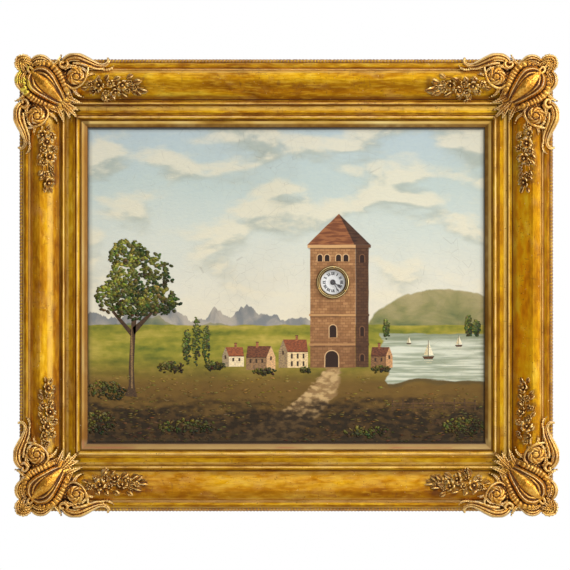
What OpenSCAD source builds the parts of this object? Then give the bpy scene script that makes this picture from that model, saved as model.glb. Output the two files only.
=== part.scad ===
// Picture clock: a gilt picture frame hinged as a door on a shallow wall case, with a small
// spring-driven striking clock whose dial shows through a round hole in the picture.
// Millimetres. +Z is up, the front faces -Y, the wall is the plane y = 0, and the origin is
// the centre of the hanging hole on the wall plane.

/* [Frame] */
// Width over the gilt rails
frame_w = 980; // [940:10:1040]
// Height over the gilt rails
frame_h = 830; // [800:10:880]
// Width of a rail without its slip
rail_w = 112; // [112:1:112]
// Depth of a rail from its back to the crown of its swelling
rail_d = 58; // [57:0.5:59]
// Width of rail and slip together, as seen from the front
face_w = 124.5; // [124.5:0.5:124.5]

/* [Picture] */
// Dial centre to the right of the frame's centre
dial_x = 86; // [40:1:150]
// Dial centre above the frame's centre
dial_up = 5.6; // [-40:0.1:60]
// Thickness of the picture's panel
panel_t = 6; // [5:0.5:6]
// Radius of the hole for the dial
hole_r = 25; // [25:0.5:26]

/* [Case] */
// Width over the case
case_w = 880; // [860:5:890]
// Height over the case
case_h = 730; // [700:5:740]
// Depth of the case from the wall to its front edge
case_d = 82; // [82:1:82]
// Thickness of the case boards
board_t = 12; // [10:1:14]
// Height of the hanging hole above the case top
hanger_rise = 14; // [12:1:18]

/* [Clock] */
// Radius of the dial
dial_r = 26; // [26:0.5:28]
// Length of the hour hand
hour_len = 17; // [14:0.5:18]
// Length of the minute hand
minute_len = 20.4; // [18:0.1:21]
// Direction of the hour hand, clockwise from twelve
hour_turn = 120; // [0:1:359]
// Direction of the minute hand, clockwise from twelve
minute_turn = 147.5; // [0:0.5:359.5]
// Length of the pendulum from its pivot to the bob's centre
pendulum_len = 306.8; // [280:0.1:320]

/* [Hidden] */

gold = "goldenrod";
pine = "tan";
brass = "darkgoldenrod";
steel = "slategray";

case_top_z = -hanger_rise;
zc = case_top_z - case_h / 2;
zd = zc + dial_up;
back_y = -case_d - 0.5;
panel_front = back_y - 14;
panel_back = panel_front + panel_t;
half_w = frame_w / 2;
half_h = frame_h / 2;

// Depths of the movement, measured along Y
plate_front = -76.5;
plate_in = -74;
rear_in = -34;
rear_out = -31.5;
dial_front = -88;

// Arbor places to the right of and above the dial's centre
going_at = [-34, -11.8];
strike_at = [34, -11.8];
third_at = [-10, 21.8];
escape_at = [0, 41.7];
pallet_at = [0, 61.7];
pin_at = [39, 20.8];
fly_at = [26, 31.8];
hammer_at = [62, 12];
minute_at = [-8.49, -8.49];
gong_at = [140, -75];
pillar_at = [[-60, -52], [60, -52], [-60, 62], [60, 62]];

// Left hinge line of the picture door
hinge_x = -case_w / 2 - 5;
hinge_y = back_y + 5;
hinge_z = [zc - 260, zc + 260];
bolt_x = case_w / 2 + 9;
bolt_y = -74;

// Solid disc or pin along Y from y0 to y1
module ycyl(r, y0, y1, at = [0, 0], fn = 48) {
    translate([at[0], max(y0, y1), at[1]])
        rotate([90, 0, 0])
            cylinder(r = r, h = abs(y1 - y0), $fn = fn);
}

// Plane shape drawn in X and Z, given its thickness along Y
module yplate(y0, y1) {
    translate([0, max(y0, y1), 0])
        rotate([90, 0, 0])
            linear_extrude(abs(y1 - y0))
                children();
}

module at_dial() {
    translate([dial_x, 0, zd])
        children();
}

// Points of a wheel's rim: flat-sided teeth with ample clearance
function tooth_points(n, m, add, root_k, tip_k, phase) =
    let (rp = n * m / 2, w = 90 / n)
    [for (k = [0:n - 1])
        for (p = [[rp - 1.05 * m, -root_k], [rp + add * m, -tip_k],
            [rp + add * m, tip_k], [rp - 1.05 * m, root_k]])
            let (a = phase + 360 * k / n + p[1] * w)
            [p[0] * cos(a), p[0] * sin(a)]];

function wheel_points(n, m, phase) = tooth_points(n, m, 0.7, 1.15, 0.45, phase);
function pinion_points(n, m, phase) = tooth_points(n, m, 0.6, 0.85, 0.38, phase);

// Turn that brings a pinion into mesh with a wheel that lies at angle phi from it
function mesh_phase(na, a0, nb, phi) = phi + 180 - (a0 - phi) * na / nb - 180 / nb;
function bearing(a, b) = atan2(b[1] - a[1], b[0] - a[0]);

// Crossed-out wheel in the plane, with its arms
module wheel_shape(n, m, phase, arms = 4, hub = 4) {
    rp = n * m / 2;
    inner = rp - 1.05 * m - 2.2;
    difference() {
        polygon(wheel_points(n, m, phase));
        for (k = [0:1:arms - 1])
            rotate(k * 360 / arms)
                polygon([[hub, 1.3], [inner * 0.99, 1.3], [inner * cos(22), inner * sin(22)],
                    [inner * cos(45), inner * sin(45)], [inner * cos(68), inner * sin(68)],
                    [1.3, inner * 0.99], [1.3, hub], [hub * 0.7, hub * 0.7]]);
    }
}

// Cross-section of a rail: first value is the distance in from the outer edge, second the height
function arc_points(cx, cy, rx, ry, a0, a1, n) =
    [for (i = [0:n]) let (a = a0 + (a1 - a0) * i / n) [cx + rx * cos(a), cy + ry * sin(a)]];

// Tops of the rope edge and of the outer bead
edge_top = rail_d - 12;
bead_top = rail_d - 7;
edge_r = 2.75;
bead_r = 6;
inner_bead_r = 4.25;
// The swelling: where it starts, has its crown and ends, and its height at both ends
swell_from = 19.5;
crown_at = 37;
swell_to = 74;
swell_low = 45;
swell_foot = 33;

// Height of the swelling's surface above the frame's back at distance b from the outer edge
function swell_height(b) =
    b < crown_at
        ? swell_low + (rail_d - swell_low) * sqrt(max(0, 1 - pow((crown_at - b) / (crown_at - swell_from), 2)))
        : rail_d - (rail_d - swell_foot) * pow((b - crown_at) / (swell_to - crown_at), 1.35);

// Turn about X that stands a piece square on the swelling's surface
function swell_lean(b) = atan2(2, swell_height(b + 1) - swell_height(b - 1));

rail_profile = concat(
    [[0, 0]],
    arc_points(edge_r, edge_top - edge_r, edge_r, edge_r, 180, 0, 6),
    arc_points(2 * edge_r + bead_r, bead_top - bead_r, bead_r, bead_r, 180, 0, 8),
    [[17.5, 44], [swell_from, 44]],
    arc_points(crown_at, swell_low, crown_at - swell_from, rail_d - swell_low, 180, 90, 6),
    [for (i = [1:7]) let (b = crown_at + (swell_to - crown_at) * i / 7) [b, swell_height(b)]],
    [[swell_to, 31], [76, 31]],
    arc_points(79.5, 33.5, 3.5, 3.5, 180, 0, 6),
    [[83, 27], [84, 27], [97.5, 30], [98.5, 26], [101, 26]],
    arc_points(101 + inner_bead_r, 26, inner_bead_r, inner_bead_r, 180, 0, 8),
    [[109.5, 22], [rail_w, 22], [rail_w, 18], [106, 18], [106, 0]]);

slip_profile = [[106, 14], [124.5, 14], [124.5, 17.2], [123.2, 18.4], [114, 23.4], [112.6, 23.8],
    [112, 22.8], [112, 18], [106, 18]];

// One straight length of moulding: its outer edge lies at height reach, and its ends are mitred
module moulding(profile, len, reach, s0, s1) {
    intersection() {
        translate([-len / 2, back_y, reach])
            rotate([90, 0, 90])
                linear_extrude(len)
                    polygon([for (p = profile) [-p[1], -p[0]]]);
        yplate(back_y - 80, back_y + 1)
            polygon([[-len / 2 + s0, reach - s0], [len / 2 - s0, reach - s0],
                [len / 2 - s1, reach - s1], [-len / 2 + s1, reach - s1]]);
    }
}

module rail(len, reach) {
    moulding(rail_profile, len, reach, 0, rail_w);
}

module frame_top_rail() {
    color(gold)
        translate([0, 0, zc])
            rail(frame_w, half_h);
}

module frame_bottom_rail() {
    color(gold)
        translate([0, 0, zc])
            rotate([0, 180, 0])
                rail(frame_w, half_h);
}

module frame_left_rail() {
    color(gold)
        translate([0, 0, zc])
            rotate([0, -90, 0])
                rail(frame_h, half_w);
}

module frame_right_rail() {
    color(gold)
        translate([0, 0, zc])
            rotate([0, 90, 0])
                rail(frame_h, half_w);
}

// Four mitred strips at the sight edge, laid behind the rails' lip
module sight_slip() {
    color("wheat")
        translate([0, 0, zc])
            for (k = [0:3])
                rotate([0, k * 90, 0])
                    moulding(slip_profile, k % 2 == 0 ? frame_w : frame_h, k % 2 == 0 ? half_h : half_w,
                        106, face_w);
}

// Moulded corner ornament, drawn for the top left corner: a runs along the top rail, b runs
// down from its outer edge, and top is the height above the frame's back
relief = 16;

// Chain of strokes with sloping sides through points [a, b, radius, top]
module stroke(points) {
    for (i = [0:len(points) - 2])
        hull()
            for (p = [points[i], points[i + 1]])
                translate([p[0], relief - p[3], -p[1]])
                    rotate([90, 0, 0])
                        cylinder(r1 = p[2] * 1.1, r2 = p[2] * 0.6, h = relief, $fn = 6);
}

// Mirror across the corner's diagonal, which joins both halves of an ornament
module both_sides() {
    children();
    mirror([1, 0, 1])
        children();
}

// Low pad of the ground, a cone stub at [a, b] with its top at the given height
module pad(a, b, r, top) {
    translate([a, relief - top, -b])
        rotate([90, 0, 0])
            cylinder(r = r, h = relief, $fn = 8);
}

// Half of the corner: shell ground, C-scroll on the outer bead, basket of petals and leaves
module ornament_half() {
    hull() {
        pad(3, 3, 8, 54);
        pad(40, 34, 6, 61);
        pad(96, 10, 12, 56);
        pad(110, 34, 10, 61);
        pad(112, 56, 6, 51);
        pad(78, 78, 8, 44);
    }
    // Corner leaf, small hump and the long C-scroll with its lower ridge
    stroke([[0, -2, 6.5, 57], [12, -1, 7.5, 60], [25, 5, 6, 59]]);
    stroke([[29, 0, 7, 58], [41, -2, 8, 63], [53, 2, 8, 62], [65, 9, 6, 59]]);
    stroke([[75, 9, 7, 60], [85, 2, 9, 63], [97, -2, 10, 65], [109, -2, 10.5, 65],
        [123, 2, 10, 64], [137, 7, 9, 62], [150, 13, 7.5, 59], [163, 18, 4, 54]]);
    stroke([[90, 15, 7, 62], [104, 15, 7, 62], [120, 18, 7, 60], [136, 22, 5.5, 58], [150, 24, 3.5, 57]]);
    stroke([[150, 5, 4, 55], [160, 1, 4.5, 58], [169, 0, 5, 58]]);
    // Gadrooned border round the boss
    stroke([[32, 13, 8, 63], [46, 10, 9, 62], [62, 16, 9.5, 63], [73, 30, 9, 65], [80, 46, 8, 62],
        [88, 62, 6, 52]]);
    // Basket of petals with a bud below it
    stroke([[88, 25, 8, 64], [102, 23, 10, 65], [113, 31, 6, 63]]);
    stroke([[91, 36, 7, 65], [104, 38, 8.5, 66], [113, 42, 4.5, 62]]);
    stroke([[99, 46, 9, 64], [105, 54, 7, 58], [106, 63, 3, 49]]);
    // Leaves that run over the fillet
    stroke([[84, 66, 8, 51], [99, 74, 6, 46], [114, 81, 2, 41]]);
    stroke([[84, 82, 8, 46], [97, 89, 6, 42], [111, 94, 2, 36]]);
}

// Both halves with the drop-shaped boss, its raised rim and its tail leaf on the diagonal
module corner_ornament() {
    both_sides() {
        ornament_half();
        stroke([[36, 22, 5, 66], [52, 32, 6, 68], [64, 48, 5, 64], [76, 68, 4, 53]]);
    }
    stroke([[32, 32, 10, 68], [46, 46, 16, 72], [59, 59, 11, 65], [77, 77, 4, 51]]);
    stroke([[86, 86, 8, 46], [99, 101, 5, 41], [108, 109, 2, 36]]);
}

// Puts one top left ornament and its mirrored copies in the four corners
module at_corners() {
    for (side = [0, 1])
        for (foot = [0, 1])
            translate([0, 0, zc])
                mirror([side, 0, 0])
                    mirror([0, 0, foot])
                        translate([-half_w, back_y, half_h])
                            children();
}

module corner_ornaments() {
    color(gold)
        at_corners()
            corner_ornament();
}

// Puts a piece at [a, b] on the swelling, its foot sunk a little into the surface
module on_swelling(a, b) {
    translate([a, -swell_height(b) + 1.5, -b])
        rotate([swell_lean(b), 0, 0])
            children();
}

// Five-petalled flower
module blossom(a, b, r) {
    on_swelling(a, b)
        linear_extrude(height = 5, scale = 0.5)
            polygon([for (k = [0:9])
                let (reach = k % 2 == 0 ? r : r * 0.62)
                [reach * cos(36 * k), reach * sin(36 * k)]]);
}

module spray_stem(points) {
    for (i = [0:len(points) - 2])
        hull()
            for (p = [points[i], points[i + 1]])
                on_swelling(p[0], p[1])
                    cylinder(r1 = p[2], r2 = p[2] * 0.5, h = 2 + p[2] * 0.6, $fn = 5);
}

spray_reach = 224;

// Spray of flowers, buds and leaves on the swelling, running away from the corner
module spray() {
    spray_stem([[126, 46, 4], [150, 52, 3], [172, 50, 2.4], [192, 54, 2], [spray_reach, 58, 1.4]]);
    spray_stem([[146, 53, 2], [164, 64, 5], [180, 68, 1.4]]);
    spray_stem([[172, 50, 2], [188, 41, 4.5], [204, 38, 1.4]]);
    spray_stem([[192, 54, 2], [208, 48, 3.6], [222, 46, 1.4]]);
    spray_stem([[134, 44, 2], [148, 35, 4.5], [164, 31, 1.4]]);
    blossom(140, 46, 8.5);
    blossom(157, 51, 8);
    blossom(183, 56, 7);
    blossom(206, 57, 5);
}

module flower_sprays() {
    color(gold)
        at_corners()
            both_sides()
                spray();
}

// Picture on its panel, with the round hole for the dial
module picture_panel() {
    color("lightsteelblue")
        difference() {
            translate([-half_w + 106, panel_front, zc - half_h + 106])
                cube([frame_w - 212, panel_t, frame_h - 212]);
            ycyl(hole_r, panel_front - 1, panel_back + 1, [dial_x, zd], 64);
            for (a = screw_turns)
                ycyl(0.8, panel_front - 1, panel_back + 1,
                    [dial_x + screw_ring * sin(a), zd + screw_ring * cos(a)], 24);
        }
}

// Two battens that keep the panel flat, behind it and clear of the dial
module panel_battens() {
    color(pine)
        for (up = [-210, 210])
            translate([-half_w + 130, panel_back, zc + up - 20])
                cube([frame_w - 260, back_y - panel_back, 40]);
}

screw_turns = [5, 125, 245];
screw_ring = 27.8;

// Turned ring round the dial: moulded flange, sunk step and a sleeve that goes through the panel
module bezel() {
    color(brass)
        difference() {
            translate([dial_x, panel_front, zd])
                rotate([90, 0, 0])
                    rotate_extrude($fn = 72)
                        polygon([[24.9, 0], [30.5, 0], [30.5, 2.4], [29.9, 3.8], [28.7, 4.7], [27.3, 4.8],
                            [26.1, 4.2], [25.6, 3.2], [24.9, 3.1], [24.5, 4.0], [23.6, 4.4], [22.7, 3.8],
                            [22.4, 2.9], [22.4, 2.2], [24.1, 2.2], [24.1, 0.2], [23.2, 0.2], [23.2, -5.5],
                            [24.9, -5.5]]);
            for (a = screw_turns)
                ycyl(0.8, panel_front - 6, panel_front + 1,
                    [dial_x + screw_ring * sin(a), zd + screw_ring * cos(a)], 24);
        }
}

glass_rise = 4.5;

// Convex glass held in the ring's groove
module dial_glass() {
    color("lightcyan", 0.35)
        translate([dial_x, panel_front, zd])
            rotate([90, 0, 0])
                rotate_extrude($fn = 72)
                    polygon(concat(
                        [for (i = [0:6]) [23.9 * i / 6, 0.4 + glass_rise * (1 - pow(i / 6, 2))]],
                        [[23.9, 2]],
                        [[22.2, 2]],
                        [for (i = [5:-1:0]) [22.2 * i / 6, 2 + glass_rise * (1 - pow(i / 6, 2))]]));
}

// Small round-headed screws through the ring and the panel
module bezel_screws() {
    color(brass)
        for (a = screw_turns)
            at_dial()
                translate([screw_ring * sin(a), 0, screw_ring * cos(a)]) {
                    ycyl(0.75, panel_front - 4.9, panel_back - 0.5, fn = 24);
                    ycyl(1.4, panel_front - 6, panel_front - 4.85, fn = 24);
                }
}

knuckle_r = 4.2;
knuckle_len = 16;

screw_len = 12;

// Wood screw with a flat sunk head above the origin and its shank along -Z
module sunk_screw() {
    cylinder(r1 = 1.5, r2 = 3.3, h = 1.7, $fn = 24);
    translate([0, 0, -screw_len])
        cylinder(r = 1.5, h = screw_len, $fn = 24);
}

// Wood screw with a domed head above the origin
module round_screw() {
    cylinder(r1 = 2.8, r2 = 1.6, h = 1.2, $fn = 24);
    translate([0, 0, -screw_len])
        cylinder(r = 1.5, h = screw_len, $fn = 24);
}

module knuckles(z, which) {
    for (k = which)
        translate([hinge_x, hinge_y, z + (k - 2.5) * knuckle_len + 0.15])
            cylinder(r = knuckle_r, h = knuckle_len - 0.3, $fn = 48);
}

module knuckle_bore(z) {
    translate([hinge_x, hinge_y, z - 45])
        cylinder(r = 1.55, h = 90, $fn = 48);
}

leaf_screws = [-24, 0, 24];

// Hinge leaves on the back of the frame
module door_hinge_leaves() {
    color(brass)
        for (z = hinge_z)
            difference() {
                union() {
                    translate([hinge_x - 40, back_y, z - 40])
                        cube([35.3, 1.8, 80]);
                    for (k = [1, 3])
                        translate([hinge_x - 6, back_y, z + (k - 2.5) * knuckle_len + 0.15])
                            cube([6, 1.8, knuckle_len - 0.3]);
                    knuckles(z, [1, 3]);
                }
                knuckle_bore(z);
                for (s = leaf_screws)
                    translate([hinge_x - 26, back_y, z + s])
                        rotate([-90, 0, 0]) {
                            translate([0, 0, 0.05])
                                cylinder(r1 = 1.65, r2 = 3.55, h = 1.8, $fn = 24);
                            translate([0, 0, -1])
                                cylinder(r = 1.6, h = 2, $fn = 24);
                        }
            }
}

// Hinge leaves on the side of the case
module case_hinge_leaves() {
    color(brass)
        for (z = hinge_z)
            difference() {
                union() {
                    translate([-case_w / 2 - 1.8, hinge_y + 4.8, z - 40])
                        cube([1.8, 34, 80]);
                    for (k = [0, 2, 4])
                        translate([-case_w / 2 - 1.8, hinge_y, z + (k - 2.5) * knuckle_len + 0.15])
                            cube([1.8, 6, knuckle_len - 0.3]);
                    knuckles(z, [0, 2, 4]);
                }
                knuckle_bore(z);
                for (s = leaf_screws)
                    translate([-case_w / 2, hinge_y + 24, z + s])
                        rotate([0, -90, 0]) {
                            translate([0, 0, 0.05])
                                cylinder(r1 = 1.65, r2 = 3.55, h = 1.8, $fn = 24);
                            translate([0, 0, -1])
                                cylinder(r = 1.6, h = 2, $fn = 24);
                        }
            }
}

// Loose pins of both hinges, with a small ball at each end
module hinge_pins() {
    color(steel)
        for (z = hinge_z)
            translate([hinge_x, hinge_y, z]) {
                translate([0, 0, -40.2])
                    cylinder(r = 1.5, h = 80.4, $fn = 48);
                for (end = [-1, 1])
                    translate([0, 0, end * 41.4])
                        cylinder(r = 2.4, h = 2.4, center = true, $fn = 24);
            }
}

// Angle piece on the back of the frame that the bolt slides into
module bolt_keeper() {
    color(brass)
        difference() {
            union() {
                translate([bolt_x - 7, back_y, zc + 14])
                    cube([14, 1.5, 34]);
                translate([bolt_x - 7, back_y, zc + 14])
                    cube([14, bolt_y - back_y + 6, 4]);
            }
            translate([bolt_x, bolt_y, zc + 10])
                cylinder(r = 2.8, h = 12, $fn = 32);
            for (up = [26, 40])
                translate([bolt_x, back_y - 1, zc + up])
                    rotate([-90, 0, 0])
                        cylinder(r = 1.6, h = 4, $fn = 24);
        }
}

// Screws in the back of the frame: for the hinge leaves and the keeper
module door_screws() {
    color(brass) {
        for (z = hinge_z)
            for (s = leaf_screws)
                translate([hinge_x - 26, back_y, z + s])
                    rotate([-90, 0, 0])
                        sunk_screw();
        for (up = [26, 40])
            translate([bolt_x, back_y + 1.5, zc + up])
                rotate([-90, 0, 0])
                    round_screw();
    }
}

module side_board(x) {
    color(pine)
        translate([x, -case_d, zc - case_h / 2])
            cube([board_t, case_d, case_h]);
}

module case_left_side() {
    side_board(-case_w / 2);
}

module case_right_side() {
    side_board(case_w / 2 - board_t);
}

plate_w = 60;
plate_t = 2.5;
back_t = 8;

// Top board with the notch for the hanging plate
module case_top() {
    color(pine)
        difference() {
            translate([-case_w / 2 + board_t, -case_d, case_top_z - board_t])
                cube([case_w - 2 * board_t, case_d, board_t]);
            translate([-plate_w / 2, -plate_t, case_top_z - board_t - 1])
                cube([plate_w, plate_t + 1, board_t + 2]);
        }
}

module case_bottom() {
    color(pine)
        translate([-case_w / 2 + board_t, -case_d, case_top_z - case_h])
            cube([case_w - 2 * board_t, case_d, board_t]);
}

// Back board, set in between the sides
module case_back() {
    color("burlywood")
        difference() {
            translate([-case_w / 2 + board_t, -plate_t - back_t, case_top_z - case_h + board_t])
                cube([case_w - 2 * board_t, back_t, case_h - 2 * board_t]);
            for (x = [-20, 20])
                ycyl(1.6, -plate_t - back_t - 1, 0, [x, -40], 24);
        }
}

back_face = -plate_t - back_t;
seat_z = -60;

// Shelf that carries the movement, with a slot for the pendulum
module seat_board() {
    color(pine)
        translate([dial_x, 0, zd + seat_z - board_t])
            difference() {
                translate([-82, -80, 0])
                    cube([164, 80 + back_face, board_t]);
                translate([-15, -34, -1])
                    cube([30, 40, board_t + 2]);
            }
}

// Two brackets under the shelf
module seat_brackets() {
    color(pine)
        for (x = [-76, 64])
            translate([dial_x + x, 0, zd + seat_z - board_t])
                rotate([90, 0, 90])
                    linear_extrude(board_t)
                        polygon([[back_face, 0], [-66, 0], [-66, -6], [-20, -44], [back_face, -44]]);
}

// Iron plate let into the top of the back, with the hole for the wall hook
module hanger_plate() {
    color(steel)
        difference() {
            union() {
                translate([-plate_w / 2, -plate_t, -58])
                    cube([plate_w, plate_t, 58]);
                yplate(-plate_t, 0)
                    hull() {
                        circle(r = 12, $fn = 32);
                        translate([-20, -14])
                            square([40, 4]);
                    }
            }
            ycyl(4, -plate_t - 1, 1, [0, 0], 48);
            for (x = [-20, 20])
                ycyl(1.6, -plate_t - 1, 1, [x, -40], 24);
        }
}

// Plate and two staples on the side of the case that guide the bolt
module bolt_plate() {
    color(brass)
        difference() {
            union() {
                translate([case_w / 2, bolt_y - 7, zc - 46])
                    cube([1.5, 14, 54]);
                for (up = [-42, -4])
                    translate([case_w / 2, bolt_y - 5, zc + up])
                        cube([14, 10, 8]);
            }
            translate([bolt_x, bolt_y, zc - 60])
                cylinder(r = 2.55, h = 90, $fn = 48);
            for (up = [-28, -12])
                translate([case_w / 2 - 1, bolt_y, zc + up])
                    rotate([0, 90, 0])
                        cylinder(r = 1.6, h = 4, $fn = 24);
        }
}

// Round bolt with its knob; at rest it stands below the keeper
module door_bolt() {
    color(steel) {
        translate([bolt_x, bolt_y, zc - 56])
            cylinder(r = 2.5, h = 66, $fn = 48);
        translate([bolt_x, bolt_y, zc - 31])
            rotate([0, 90, 0])
                cylinder(r = 1.8, h = 9, $fn = 24);
        translate([bolt_x + 9, bolt_y, zc - 31])
            sphere(r = 4, $fn = 24);
    }
}

// Screws in the case: for the hanging plate, hinge leaves and bolt plate
module case_screws() {
    color(steel) {
        for (x = [-20, 20]) {
            ycyl(1.5, back_face - 1.6, 0, [x, -40], 24);
            ycyl(3.2, back_face - 1.6, back_face, [x, -40], 24);
        }
        for (z = hinge_z)
            for (s = leaf_screws)
                translate([-case_w / 2, hinge_y + 24, z + s])
                    rotate([0, -90, 0])
                        sunk_screw();
        for (up = [-28, -12])
            translate([case_w / 2 + 1.5, bolt_y, zc + up])
                rotate([0, 90, 0])
                    round_screw();
    }
}

gong_turns = 4;
gong_in = 10;
gong_pitch = 12.5;
gong_w = 1.5;

// Edges of a flat spiral strip of width 2w
function spiral_edge(r0, pitch, turns, off, n) =
    [for (i = [0:n * turns]) let (a = 360 * i / n, r = r0 + pitch * i / n + off) [r * cos(a), r * sin(a)]];

module spiral_strip(r0, pitch, turns, w, n) {
    outer = spiral_edge(r0, pitch, turns, w, n);
    inner = spiral_edge(r0, pitch, turns, -w, n);
    polygon(concat(outer, [for (i = [len(inner) - 1:-1:0]) inner[i]]));
}

// Coiled wire gong, held at its inner end
module gong() {
    color("midnightblue")
        translate([dial_x + gong_at[0], 0, zd + gong_at[1]])
            yplate(-31, -28)
                spiral_strip(gong_in, gong_pitch, gong_turns, gong_w, 24);
}

// Cast foot of the gong on the back board
module gong_stand() {
    color(steel)
        translate([dial_x + gong_at[0], 0, zd + gong_at[1]]) {
            translate([5, -35, -12])
                cube([9, 35 + back_face, 12]);
            translate([-1, back_face - 3, -18])
                cube([21, 3, 24]);
        }
}

// Outline of the movement's plates, with its upper corners cut off
module plate_outline() {
    polygon([[-68, -60], [68, -60], [68, 62], [58, 72], [-58, 72], [-68, 62]]);
}

module pivot_hole(at, r, y0, y1) {
    ycyl(r, y0 - 1, y1 + 1, at, 32);
}

module pillar_holes(y0, y1) {
    for (p = pillar_at)
        pivot_hole(p, 2.55, y0, y1);
}

click_at = [[-48, 4], [48, 4]];

// Front plate, with the studs for the minute wheel and the clicks
module front_plate() {
    color(brass)
        at_dial() {
            difference() {
                yplate(plate_front, plate_in)
                    plate_outline();
                pillar_holes(plate_front, plate_in);
                pivot_hole([0, 0], 1.55, plate_front, plate_in);
                for (p = [going_at, strike_at])
                    pivot_hole(p, 3.05, plate_front, plate_in);
                for (p = [third_at, escape_at, pallet_at, pin_at, fly_at, hammer_at])
                    pivot_hole(p, 0.85, plate_front, plate_in);
            }
            ycyl(1, plate_front - 6.4, plate_front, minute_at, 32);
            for (p = click_at)
                ycyl(1, plate_front - 4.4, plate_front, p, 32);
        }
}

module back_plate() {
    color(brass)
        at_dial()
            difference() {
                yplate(rear_in, rear_out)
                    plate_outline();
                pillar_holes(rear_in, rear_out);
                for (p = [going_at, strike_at])
                    pivot_hole(p, 2.55, rear_in, rear_out);
                for (p = [[0, 0], third_at, escape_at, pin_at, fly_at])
                    pivot_hole(p, 0.85, rear_in, rear_out);
                pivot_hole(pallet_at, 4, rear_in, rear_out);
                pivot_hole(hammer_at, 1.25, rear_in, rear_out);
            }
}

// Turned pillars that hold the plates apart
module plate_pillars() {
    color(brass)
        at_dial()
            for (p = pillar_at)
                translate([p[0], rear_out, p[1]])
                    rotate([90, 0, 0])
                        rotate_extrude($fn = 36)
                            polygon([[0, 0], [2.5, 0], [2.5, 2.5], [5, 2.5], [5, 7], [3.8, 8.5], [3.4, 12],
                                [3.4, 33], [3.8, 36.5], [5, 38], [5, 42.5], [2.5, 42.5], [2.5, 48.2],
                                [0, 48.2]]);
}

module pillar_nuts() {
    color(steel)
        at_dial()
            for (p = pillar_at)
                difference() {
                    ycyl(4.2, plate_front - 3, plate_front, p, 6);
                    ycyl(2.55, plate_front - 4, plate_front + 1, p, 32);
                }
}

// Bridge behind the back plate that carries the pallets' rear pivot and the suspension
module pendulum_cock() {
    color(brass)
        at_dial()
            difference() {
                union() {
                    for (x = [-20, 12])
                        translate([x, rear_out, 55])
                            cube([8, 7.5, 15]);
                    translate([-20, -24, 55])
                        cube([40, 2, 21]);
                    translate([-6, -22, 65.5])
                        cube([12, 8, 10.5]);
                }
                pivot_hole(pallet_at, 0.85, -24, -22);
                translate([-1, -22.01, 60])
                    cube([2, 9, 20]);
            }
}

// Enamelled dial on its brass plate
module dial() {
    color("white")
        at_dial()
            difference() {
                ycyl(dial_r, dial_front, dial_front + 1.5, fn = 96);
                ycyl(4.6, dial_front - 1, dial_front + 3);
            }
}

module dial_plate() {
    color(brass)
        at_dial() {
            difference() {
                ycyl(dial_r + 2, dial_front + 1.5, dial_front + 3, fn = 96);
                ycyl(4.6, dial_front, dial_front + 4);
            }
            for (a = [30, 150, 270])
                ycyl(1.3, dial_front + 3, plate_front, [24.5 * sin(a), 24.5 * cos(a)], 24);
        }
}

barrel_teeth = 64;
barrel_r = 28;
going_m = 1;
strike_m = 33.1 / 36;

// Spring barrel with its great wheel at the front and a hollow drum behind
module barrel(at, m, phase) {
    difference() {
        union() {
            yplate(-66, -63.5)
                translate(at)
                    polygon(wheel_points(barrel_teeth, m, phase));
            ycyl(barrel_r, -63.5, -44, at, 72);
            ycyl(6, -69, -66, at, 32);
            ycyl(6, -44, -41, at, 32);
        }
        ycyl(barrel_r - 1.5, -63.5, -45.5, at, 72);
        ycyl(3.05, -70, -40, at, 48);
    }
}

going_phase = 4;
strike_phase = 4;

module going_barrel() {
    color(brass)
        at_dial()
            barrel(going_at, going_m, going_phase);
}

module strike_barrel() {
    color(brass)
        at_dial()
            barrel(strike_at, strike_m, strike_phase);
}

// Coiled mainspring, from the arbor's hub to the wall of the barrel
module mainspring(at) {
    color("lightsteelblue")
        at_dial()
            yplate(-62, -47)
                translate(at)
                    spiral_strip(6.8, 3.2, 6, 0.5, 18);
}

module going_mainspring() {
    mainspring(going_at);
}

module strike_mainspring() {
    mainspring(strike_at);
}

ratchet_teeth = 16;

// Winding arbor with its square, ratchet wheel and the hub inside the barrel
module winding_arbor(at, hand) {
    color(steel)
        at_dial() {
            yplate(-86, -79.3)
                translate(at)
                    square(4.2, center = true);
            yplate(-79.3, -77)
                translate(at)
                    mirror([hand, 0])
                        polygon([for (k = [0:ratchet_teeth - 1])
                            for (p = [[9, 0], [7.2, 1]])
                                let (a = 360 * (k + p[1]) / ratchet_teeth)
                                [p[0] * cos(a), p[0] * sin(a)]]);
            ycyl(3, -77, rear_in, at, 48);
            ycyl(5.6, -62.5, -46.5, at, 32);
            ycyl(2.5, rear_in, rear_out, at, 48);
        }
}

module going_arbor() {
    winding_arbor(going_at, 0);
}

module strike_arbor() {
    winding_arbor(strike_at, 1);
}

// Click beside a ratchet wheel; its nose stays just clear of the teeth
module click(at, toward) {
    color(steel)
        at_dial()
            difference() {
                yplate(-79.1, -77.2)
                    hull() {
                        translate(at)
                            circle(r = 2.8, $fn = 24);
                        translate([at[0] + toward[0], at[1] + toward[1]])
                            circle(r = 0.7, $fn = 8);
                    }
                ycyl(1.05, -80, -76, at, 32);
            }
}

module going_click() {
    click(click_at[0], [8.75, -7.17]);
}

module strike_click() {
    click(click_at[1], [-8.75, -7.17]);
}

// Turned arbor with a thin pivot at each end
module arbor(at, r, y0, y1, pivot, p0, p1) {
    ycyl(r, y0, y1, at, 24);
    ycyl(pivot, p0, y0, at, 24);
    ycyl(pivot, y1, p1, at, 24);
}

centre_teeth = 54;
centre_m = 0.8;
centre_phase = 3;
pinion_leaves = 8;
small_leaves = 6;

module centre_wheel() {
    color(brass)
        at_dial() {
            yplate(-41, -39.5)
                wheel_shape(centre_teeth, centre_m, centre_phase);
            yplate(-68, -61)
                polygon(pinion_points(pinion_leaves, going_m,
                    mesh_phase(barrel_teeth, going_phase, pinion_leaves, bearing(going_at, [0, 0]))));
            ycyl(1.5, -94.5, -35, fn = 32);
            ycyl(0.8, -35, rear_out, fn = 24);
        }
}

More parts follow.
